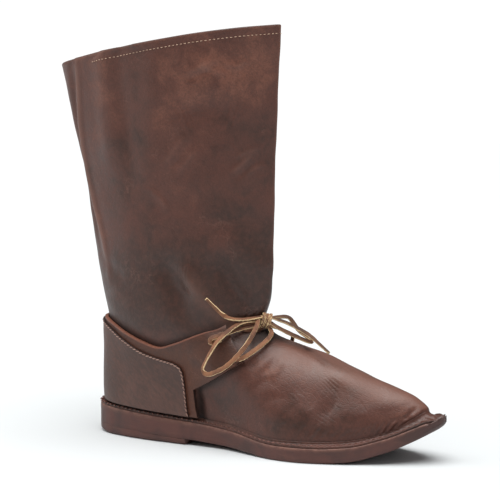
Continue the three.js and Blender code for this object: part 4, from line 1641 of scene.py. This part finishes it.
    def build_welt_stitches(self) -> None:
        """Makes the slanted stitches that hold the turned out edge to the sole."""
        form = self.form
        every = even_turns(4000)
        along = run_of(form.sole_ring(every))
        count = round(along[-1] / self.welt_pitch)
        turn = np.interp((np.arange(count) + 0.5) / count * along[-1], along, every)
        wall = form.footing_ring(turn, np.zeros_like(turn))[:, :2]
        outer = form.sole_ring(turn, self.flange_inset)
        in_heel = 1 - smooth(outer[:, :1], 0.06, 0.075)
        middle = mix(wall, outer, mix(0.68, 0.9, in_heel))
        way = unit(np.roll(outer, -1, axis=0) - outer)
        slant = way * 0.8 + unit(outer - wall) * 0.75
        height = form.flange_top(middle[:, 0])
        rise = form.flange_top(middle[:, 0] + slant[:, 0] * MM) - height
        slant = np.column_stack([slant, rise / MM])
        places = np.column_stack([middle, height - 0.2 * MM])
        outs = np.tile([0.0, 0.0, 1.0], (count, 1))
        # The heel's stitches are coarse and lie a little unevenly, and the tip has none.
        coarse = in_heel[:, 0] > 0.5
        places[coarse, 2] += 0.3 * MM * (np.sin(np.arange(count)[coarse] * 2.4) - 1)
        fine = ~coarse & (places[:, 0] < 0.25)
        bm = stitches(places[fine], slant[fine], outs[fine], self.fine_stitch)
        add_mesh(bm, stitches(places[coarse], slant[coarse], outs[coarse], self.coarse_stitch))
        piece = new_object("welt_stitches", bm, [self.finishes.welt_thread])

    def build_hem_stitches(self) -> None:
        """Makes the row of stitches under the collar, which ends short of the back seam."""
        form = self.form
        every = even_turns(2000)[270:-270]
        top = form.face(every, np.full_like(every, form.last_level))
        level = form.level_at(every, top[:, 2] - self.hem_drop)
        along = run_of(form.face(every, level))
        marks = np.linspace(0, along[-1], round(along[-1] / self.hem_pitch))
        turn, level = np.interp(marks, along, every), np.interp(marks, along, level)
        places, _, _ = self.lifted(turn, level)
        outs = form.normal(turn, level)
        bm = stitches(places + outs * 0.15 * MM, np.gradient(places, axis=0), outs, self.hem_stitch)
        piece = new_object("hem_stitches", bm, [self.finishes.hem_thread])

    def build_back_seam(self) -> None:
        """Makes the two plies that stand out along the back of the leg."""
        last = self.form.last_level
        levels = np.linspace(last - 5, last, 110)
        marks, shares = np.arange(last - 5, last + 1, dtype=float), np.array([0.2, 0.28, 0.4, 0.62, 0.9, 1])
        stand = ease_through(marks, shares, levels)
        base = self.form.face(np.zeros_like(levels), levels)
        # Each corner of a ply: how far in or out, and how far aside in plies.
        corners = (
            (-1.2, 1.3), (0, 1.25), (0.75, 1.15), (0.97, 0.95), (1, 0.65),
            (0.97, 0.35), (0.8, 0.12), (0, 0.06), (-1.2, 0.05), (-1.2, 1.3),
        )
        bm = bmesh.new()
        for side in Side:
            sign = side.value
            # The inner ply stands out further and ends lower, so that both show at the collar.
            extra = (2 if side is Side.INNER else 0) * MM * smooth(levels, last - 3, last)
            rows = []
            for out, aside in corners:
                reach = np.where(out < 0, out * MM, out * (stand * self.seam_depth + extra))
                wave = 0.12 * MM * np.sin(levels * 11 + sign) * (out > 0.9)
                beside = np.full_like(wave, sign * aside * self.ply)
                rows.append(base + np.column_stack([-reach - wave, beside, -1.8 * extra]))
            points = np.array(rows)[::sign]
            ply = grid(points, dict.fromkeys(("burnish_and_highlight", "tone_and_shading"), np.zeros(points.shape[:2])))
            bmesh.ops.holes_fill(ply, edges=ply.edges, sides=0)
            bmesh.ops.recalc_face_normals(ply, faces=ply.faces)
            add_mesh(bm, ply)
        piece = new_object("upper_back_seam", bm, [self.finishes.upper])

    def build(self) -> None:
        """Makes every piece of the upper."""
        self.build_wall()
        self.build_flange()
        self.build_welt_stitches()
        self.build_hem_stitches()
        self.build_back_seam()


@dataclass
class Panel:
    """A thick leather panel that wraps the heel over the upper."""

    form: BootForm
    finishes: Finishes
    lift: float = 1.7 * MM

    def panel(self, turn: np.ndarray, level: np.ndarray, out: float) -> np.ndarray:
        """Places on the panel's outer face, which stands off the upper by a distance."""
        height = self.form.face(turn, level)[..., 2]
        return self.form.over(turn, level, out + self.form.stand_off(height))

    def wrapped(
        self, heights: np.ndarray, fronts: np.ndarray, count: int, crest: np.ndarray, out: float
    ) -> np.ndarray:
        """A grid of places that wraps the heel from one front edge to the other.

        Args:
            heights: Each row's height at the front edge, from the flange up.
            fronts: Where each row's front edge stands.
            count: Columns from the back to one front edge.
            crest: The panel's top edge in side view.
            out: How far the face stands off the upper.

        Returns:
            The places, rows of columns, from the inner side's front round the back.
        """
        form = self.form
        edge, _ = form.spot(fronts, np.maximum(heights, 0.03), Side.OUTER)
        turns = np.linspace(-1, 1, 2 * count + 1)[None] * edge[:, None]
        share = (heights - heights[0]) / (heights[-1] - heights[0])
        level = np.full_like(turns, 4.0)
        for _ in range(5):
            x = form.face(turns % 1, level)[..., 0]
            top = ease_through(crest[:, 0], crest[:, 1], x)
            under = form.flange_top(x) + form.gap + self.lift
            level = form.level_at(turns % 1, mix(under, top, share[:, None]))
        points = self.panel(turns % 1, level, out)
        foot = form.footing_ring(turns[0] % 1, np.full_like(turns[0], out))
        points[0] = foot + np.array([0, 0, form.gap + self.lift])
        return points

    def thickened(self, name: str, bm: Mesh, thickness: float, face: Material, soft: float) -> Piece:
        """Gives a face its thickness and rounded, paler cut edges.

        Args:
            name: The piece's name.
            bm: The face's mesh, which is freed.
            thickness: The leather's thickness.
            face: The finish of its face.
            soft: How far its edges are rounded.

        Returns:
            The new piece.
        """
        piece = new_object(name, bm, [face, self.finishes.strap_edge])
        finish_with(piece, "SOLIDIFY", thickness=thickness, offset=-1, material_offset_rim=1)
        rounded = {"segments": 2, "profile": 0.5, "material": -1, "limit_method": "ANGLE"}
        finish_with(piece, "BEVEL", width=soft, angle_limit=math.radians(50), **rounded)
        return piece


@dataclass
class HeelStrap(Panel):
    """The strap: it wraps the heel, and its two wings are laced over the instep."""

    thickness: float = 2.8 * MM
    soft: float = 0.9 * MM
    hole: float = 4.2 * MM
    low_rows: int = 16
    high_rows: int = 30
    rear_columns: int = 90
    wing_columns: int = 44
    crest: tuple[EdgePoint, ...] = STRAP_CREST
    wing_top: tuple[EdgePoint, ...] = (EdgePoint(67, 87.5), EdgePoint(80, 91.8), EdgePoint(93, 95.2))
    wing_low: tuple[EdgePoint, ...] = (EdgePoint(69, 46), EdgePoint(89, 56.5), EdgePoint(116, 71.5))

    def edge_line(self, points: tuple[EdgePoint, ...]) -> np.ndarray:
        """An edge of a wing in side view, at each of its columns.

        Args:
            points: The points that the edge passes, in millimetres.

        Returns:
            X and Z in metres, one row for each column.
        """
        ends = np.array(points, float) * MM
        line = smooth_path(ends, (ends[-1, 0] - ends[0, 0]) / self.wing_columns)
        return read_at(np.linspace(0, 1, self.wing_columns + 1), np.linspace(0, 1, len(line)), line)

    def wing(self, side: Side, start: np.ndarray, out: float) -> Mesh:
        """The face of one wing.

        Args:
            side: The side of the boot.
            start: The rear part's front edge, which the wing carries on.
            out: How far the face stands off the upper.

        Returns:
            The wing's mesh.
        """
        along = np.linspace(0, 1, self.wing_columns + 1)
        up = np.linspace(0, 1, self.high_rows + 1)[:, None, None]
        place = mix(self.edge_line(self.wing_low)[None], self.edge_line(self.wing_top)[None], up)
        points = self.panel(*self.form.spot(place[..., 0], place[..., 1], side), out)
        ease = (1 - smooth(along, 0, 0.3))[None, :, None]
        points = points + (start[:, None] - points[:, :1]) * ease
        # The cut edge shows pale along the top, and is painted dark as shade along the lower edge and the
        # front end.
        edge = np.zeros(points.shape[:2])
        edge[0], edge[:, -1] = 0.25, 0.05
        edge[-1], edge[-2] = 1 - 0.6 * smooth(along, 0.7, 1), 0.45
        if side is Side.INNER:
            points, edge = points[:, ::-1], edge[:, ::-1]
        return grid(points, {"edge": edge})

    def build(self) -> None:
        """Makes the strap's face with its holes, then gives it its thickness."""
        form, low = self.form, self.low_rows
        out = form.gap + self.thickness
        crest = np.array(self.crest, float) * MM
        base = float(form.flange_top(np.array(0.07))) + form.gap + self.lift
        corner = self.wing_low[0].up * MM
        above = np.linspace(corner, crest[-1, 1], self.high_rows + 1)[1:]
        heights = np.r_[np.linspace(base, corner, low + 1), above]
        fronts = np.interp(heights, [base, corner, crest[-1, 1]], [0.071, 0.069, 0.067])
        rear = self.wrapped(heights, fronts, self.rear_columns, crest, out)
        # The cut edge shows pale along the top, and is painted dark as shade down the front edges, in the gap
        # by the foot.
        edge = np.zeros(rear.shape[:2])
        edge[-1], edge[-2] = 1, 0.45
        edge[: low + 1, [0, -1]] = 0.05
        bm = grid(rear, {"edge": edge})
        for side in Side:
            add_mesh(bm, self.wing(side, rear[low:, -1 if side is Side.OUTER else 0], out))
        bmesh.ops.remove_doubles(bm, verts=bm.verts, dist=0.05 * MM)
        for side in Side:
            for hole in LACE_HOLES:
                self.punch(bm, hole, side, out)
        for name in ("burnish_and_highlight", "tone_and_shading"):
            bm.verts.layers.float.new(name)
        piece = self.thickened("heel_strap_leather", bm, self.thickness, self.finishes.strap, self.soft)
        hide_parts("heel_strap")

    def punch(self, bm: Mesh, hole: EdgePoint, side: Side, out: float) -> None:
        """Cuts a round lace hole in the strap's face.

        Args:
            bm: The face's mesh.
            hole: The hole's place in side view.
            side: The side of the boot.
            out: How far the face stands off the upper.
        """
        turn, level = self.form.spot(np.array(hole.forward * MM), np.array(hole.up * MM), side)
        centre = Vector(self.panel(turn, level, out))
        normal = Vector(self.form.normal(turn, level))
        radius = self.hole / 2
        for reach in (3.2, 2.2):
            near = [e for e in bm.edges if all((v.co - centre).length < radius * reach for v in e.verts)]
            bmesh.ops.subdivide_edges(bm, edges=near, cuts=1, use_grid_fill=True)
        inside = [v for v in bm.verts if (v.co - centre).length < radius * 0.98]
        bmesh.ops.delete(bm, geom=inside, context="VERTS")
        for vert in bm.verts:
            away = vert.co - centre
            if away.length < radius * 1.6 and vert.is_boundary:
                flat = away - normal * away.dot(normal)
                vert.co += flat.normalized() * radius - flat


@dataclass
class HeelCounter(Panel):
    """The counter sewn over the strap at the heel, with coarse thread along its edge."""

    thickness: float = 1.6 * MM
    soft: float = 0.5 * MM
    pitch: float = 3.5 * MM
    thread_inset: float = 0.6 * MM
    stitch: Triple = (3.7 * MM, 1 * MM, 0.9 * MM)
    crest: tuple[EdgePoint, ...] = (
        EdgePoint(-60, 106), EdgePoint(-33, 98), EdgePoint(-15, 90.3), EdgePoint(3, 81.2),
        EdgePoint(23, 72.6), EdgePoint(42, 68.5), EdgePoint(53, 66.5), EdgePoint(58.5, 63.5),
    )
    front: tuple[tuple[float, float], ...] = ((20, 63.8), (45, 62.2), (57, 61), (61, 59.8), (63.5, 58.5))

    def build(self) -> None:
        """Makes the counter and its thread."""
        form = self.form
        out = form.gap + HeelStrap.thickness + form.gap + self.thickness
        crest = np.array(self.crest, float) * MM
        base = float(form.flange_top(np.array(self.front[0][1] * MM))) + form.gap + self.lift
        heights = np.linspace(base, crest[-1, 1], 41)
        marks = np.array(self.front, float) * MM
        points = self.wrapped(heights, np.interp(heights, marks[:, 0], marks[:, 1]), 84, crest, out)
        face = self.finishes.counter
        piece = self.thickened("heel_counter_leather", grid(points), self.thickness, face, self.soft)
        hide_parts("heel_counter")
        self.build_thread(points)

    def build_thread(self, points: np.ndarray) -> None:
        """Makes the slanted thread along the counter's top and front edges.

        Args:
            points: The counter's outer face, rows of columns.
        """
        rim = np.concatenate([points[1:, 0], points[-1, 1:-1], points[1:, -1][::-1]])
        along = run_of(rim)
        count = round(along[-1] / self.pitch)
        places = read_at((np.arange(count) + 0.5) / count * along[-1], along, rim)
        way = unit(np.gradient(places, axis=0))
        outs = places - np.array([0.02, 0, 0.05])
        outs[:, 2] = 0
        outs = unit(outs)
        side = np.cross(outs, way)
        centre = points.reshape(-1, 3).mean(axis=0)
        inward = np.where((np.sum(side * (centre - places), axis=1) > 0)[:, None], side, -side)
        places = places + inward * self.thread_inset + outs * 0.2 * MM
        bm = stitches(places, way + side * 0.35, outs, self.stitch)
        piece = new_object("counter_stitches", bm, [self.finishes.counter_thread])


@dataclass
class Sole:
    """The outsole and the heel lift under it."""

    form: BootForm
    finishes: Finishes
    columns: int = 360
    round_off: float = 1.6 * MM
    waviness: float = 0.12 * MM
    heel_round: float = 2 * MM

    def ring(self, height: Height, inset: Value, wobble: float = 0, raised: Value = 0) -> np.ndarray:
        """A ring of the sole's outline.

        Args:
            height: The height at each X.
            inset: How far the ring is moved in.
            wobble: How wavy the hand cut edge is.
            raised: How much higher than its height it lies.

        Returns:
            The ring's places.
        """
        turn = even_turns(self.columns)
        waves = np.sin(turn * 2 * math.pi * 31) + 0.6 * np.sin(turn * 2 * math.pi * 73 + 1)
        plan = self.form.sole_ring(turn, inset + wobble * waves)
        return np.column_stack([plan, height(plan[:, 0]) + raised])

    def spine(self, height: Height) -> np.ndarray:
        """The middle line under or over the sole, where its faces close.

        Args:
            height: The height at each X.

        Returns:
            The line's places, one for each column.
        """
        turn = even_turns(self.columns)
        plan = self.form.sole_ring(turn)
        across = (plan[:, 1] + self.form.sole_ring(1 - turn)[:, 1]) / 2
        return np.column_stack([plan[:, 0], across, height(plan[:, 0])])

    def between(self, low: Height, high: Height, share: float) -> Height:
        """A height a share of the way from one to another."""
        return lambda x: mix(low(x), high(x), share)

    def cap(self, height: Height, inset: Value) -> list[np.ndarray]:
        """The rings that close the sole's face: its middle line, one half way out and one by the edge."""
        spine, ring = self.spine(height), self.ring(height, inset)
        return [spine, mix(spine, ring, 0.5), ring]

    def worn_top(self, x: np.ndarray) -> np.ndarray:
        """The outsole's upper face with its worn tip."""
        return self.form.sole_top(x) - self.form.tip_drop(x)

    def worn_heel(self, x: np.ndarray) -> np.ndarray:
        """The heel's underside, worn round at its back."""
        back = self.form.heel_setback
        return self.heel_round * smooth(-x, back * 0.25, back) ** 2

    def heel_top(self, x: np.ndarray) -> np.ndarray:
        """The heel's upper face, just under the sole."""
        return self.form.sole_under(x) - self.form.gap * 0.3

    def build_outsole(self) -> None:
        """Makes the outsole with its rounded, slightly uneven edge."""
        form, r, uneven = self.form, self.round_off, self.waviness
        place = form.sole_ring(even_turns(self.columns))[:, 0]
        # The lower edge is sharp over the heel, and rounder towards the tip.
        soft = smooth(place, form.breast_place - 0.004, form.breast_place + 0.006)
        soft = (0.15 + soft * 0.85) * (1 + 1.3 * smooth(place, 0.24, 0.265))
        rows = self.cap(form.sole_under, r * 1.6 * soft)
        for share, inset in ((0.12, 0.75), (0.35, 0.28), (0.8, 0.06)):
            rows.append(self.ring(form.sole_under, r * inset * soft, uneven, share * r * soft))
        for share in (0.25, 0.4, 0.55, 0.7, 0.82):
            height = self.between(form.sole_under, form.sole_top, share)
            rows.append(self.ring(height, 0, uneven * (share < 0.6)))
        tip = 1 + 0.6 * smooth(place, 0.25, 0.2655)
        for share, inset in ((0.5, 0.05), (0.2, 0.25), (0, 0.6)):
            rows.append(self.ring(self.worn_top, r * inset * tip, 0.1 * MM, -share * r * tip))
        rows += self.cap(form.sole_top, r * 0.6)[1::-1]
        rim = np.zeros((len(rows), self.columns + 1))
        rim[-6:-2] = np.array([0.3, 1, 1, 1])[:, None]
        bm = grid(np.array(rows), {"rim": rim})
        bmesh.ops.recalc_face_normals(bm, faces=bm.faces)
        piece = new_object("outsole_edge", bm, [self.finishes.sole])
        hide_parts("outsole")

    def build_heel(self) -> None:
        """Makes the heel lift, cut square at its breast."""
        form, r, uneven = self.form, self.round_off, self.waviness
        rows = self.cap(self.worn_heel, r * 2)
        for share, inset in ((0.15, 1.2), (0.5, 0.5), (1, 0.1)):
            rows.append(self.ring(self.worn_heel, r * inset, uneven, share * r))
        for share in (0.4, 0.7, 0.93, 1):
            height = self.between(self.worn_heel, self.heel_top, share)
            rows.append(self.ring(height, 0, uneven, r * (1 - share)))
        rows.append(self.spine(self.heel_top))
        bm = grid(np.array(rows))
        geom = [*bm.verts, *bm.edges, *bm.faces]
        plane = {"plane_co": (form.breast_place, 0, 0), "plane_no": (1, 0, 0), "clear_outer": True}
        made = bmesh.ops.bisect_plane(bm, geom=geom, dist=1e-7, **plane)
        edges = [e for e in made["geom_cut"] if isinstance(e, bmesh.types.BMEdge)]
        bmesh.ops.holes_fill(bm, edges=edges, sides=0)
        bmesh.ops.recalc_face_normals(bm, faces=bm.faces)
        piece = new_object("heel_lift_edge", bm, [self.finishes.sole])
        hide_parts("heel_lift")

    def build(self) -> None:
        """Makes the sole's pieces."""
        self.build_outsole()
        self.build_heel()


@dataclass
class Insole:
    """The insole, whose solid stays as it is and gets its finish."""

    finishes: Finishes

    def build(self) -> None:
        """Dresses the insole."""
        node = bpy.data.objects["insole"]
        node.data.materials.clear()
        node.data.materials.append(self.finishes.lining)


@dataclass
class Studio:
    """The camera, the floor and soft light."""

    turn: float = math.radians(29)
    distance: float = 1.1
    height: float = 0.248
    forward: float = 0.1015
    horizon: float = 136
    focal: float = 1375
    frame_size: float = 500
    sensor: float = 36
    floor_reach: float = 60
    room_strength: float = 0.24
    wall_strength: float = 1.05
    room_tint: Colour = (1, 0.98, 0.96, 1)

    def build_camera(self) -> None:
        """Stands the camera at the photograph's angle."""
        pitch = math.atan((self.frame_size / 2 - self.horizon) / self.focal)
        back = Vector((math.sin(self.turn), -math.cos(self.turn), 0))
        ahead = -back * math.cos(pitch) - Vector((0, 0, math.sin(pitch)))
        right = Vector((math.cos(self.turn), math.sin(self.turn), 0))
        up = right.cross(ahead)
        data = bpy.data.cameras.new("camera")
        data.sensor_width = self.sensor
        data.lens = self.focal / self.frame_size * self.sensor
        data.clip_start = 0.01
        camera = bpy.data.objects.new("camera", data)
        turned = Matrix((right, up, -ahead)).transposed().to_4x4()
        place = Vector((self.forward, 0, self.height)) + back * self.distance
        camera.matrix_world = Matrix.Translation(place) @ turned
        bpy.context.collection.objects.link(camera)
        bpy.context.scene.camera = camera

    def build_floor(self) -> None:
        """Lays the floor."""
        bm = bmesh.new()
        bmesh.ops.create_grid(bm, x_segments=1, y_segments=1, size=self.floor_reach)
        mesh = bpy.data.meshes.new("floor")
        bm.to_mesh(mesh)
        bm.free()
        mesh.materials.append(StudioFloor("floor_paint").build())
        floor = bpy.data.objects.new("floor", mesh)
        bpy.context.collection.objects.link(floor)

    def lamp(self, name: str, way: Triple, spread: float, power: float, tint: Triple) -> None:
        """Hangs one far, soft lamp.

        Args:
            name: The lamp's name.
            way: The direction from the boot to the lamp.
            spread: The lamp's width as seen from the boot, in degrees.
            power: Its strength.
            tint: Its colour.
        """
        data = bpy.data.lights.new(name, "SUN")
        data.energy = power
        data.angle = math.radians(spread)
        data.color = tint
        lamp = bpy.data.objects.new(name, data)
        lamp.rotation_euler = Vector(way).to_track_quat("Z", "Y").to_euler()
        bpy.context.collection.objects.link(lamp)

    def build_light(self) -> None:
        """Hangs the lamps and sets the room's light."""
        self.lamp("key", (-0.95, -0.4, 0.8), 56, 1.35, (1, 0.98, 0.95))
        self.lamp("top", (0.12, -0.16, 1.2), 56, 3.95, (1, 0.99, 0.97))
        self.lamp("toe", (1.2, -0.6, 0.6), 40, 0.15, (1, 0.98, 0.98))
        world = bpy.data.worlds.new("room")
        bpy.context.scene.world = world
        world.use_nodes = True
        tree = world.node_tree
        room = tree.nodes["Background"]
        room.inputs["Color"].default_value = self.room_tint
        room.inputs["Strength"].default_value = self.room_strength
        # The camera sees a plain white wall instead of the room.
        wall = tree.nodes.new("ShaderNodeBackground")
        wall.inputs["Color"].default_value = (1, 1, 1, 1)
        wall.inputs["Strength"].default_value = self.wall_strength
        seen = tree.nodes.new("ShaderNodeLightPath")
        both = tree.nodes.new("ShaderNodeMixShader")
        tree.links.new(seen.outputs["Is Camera Ray"], both.inputs[0])
        tree.links.new(room.outputs[0], both.inputs[1])
        tree.links.new(wall.outputs[0], both.inputs[2])
        tree.links.new(both.outputs[0], tree.nodes["World Output"].inputs[0])
        bpy.context.scene.view_settings.view_transform = "Standard"


def main() -> None:
    """Builds the studio, then every part of the boot in order."""
    logging.basicConfig(level=logging.INFO, format="%(message)s")
    form = BootForm()
    finishes = Finishes.made()
    studio = Studio()
    studio.build_camera()
    Lace(form, finishes).build()
    Sole(form, finishes).build()
    Insole(finishes).build()
    Upper(form, finishes).build()
    HeelStrap(form, finishes).build()
    HeelCounter(form, finishes).build()
    studio.build_floor()
    studio.build_light()


if __name__ == "__main__":
    main()
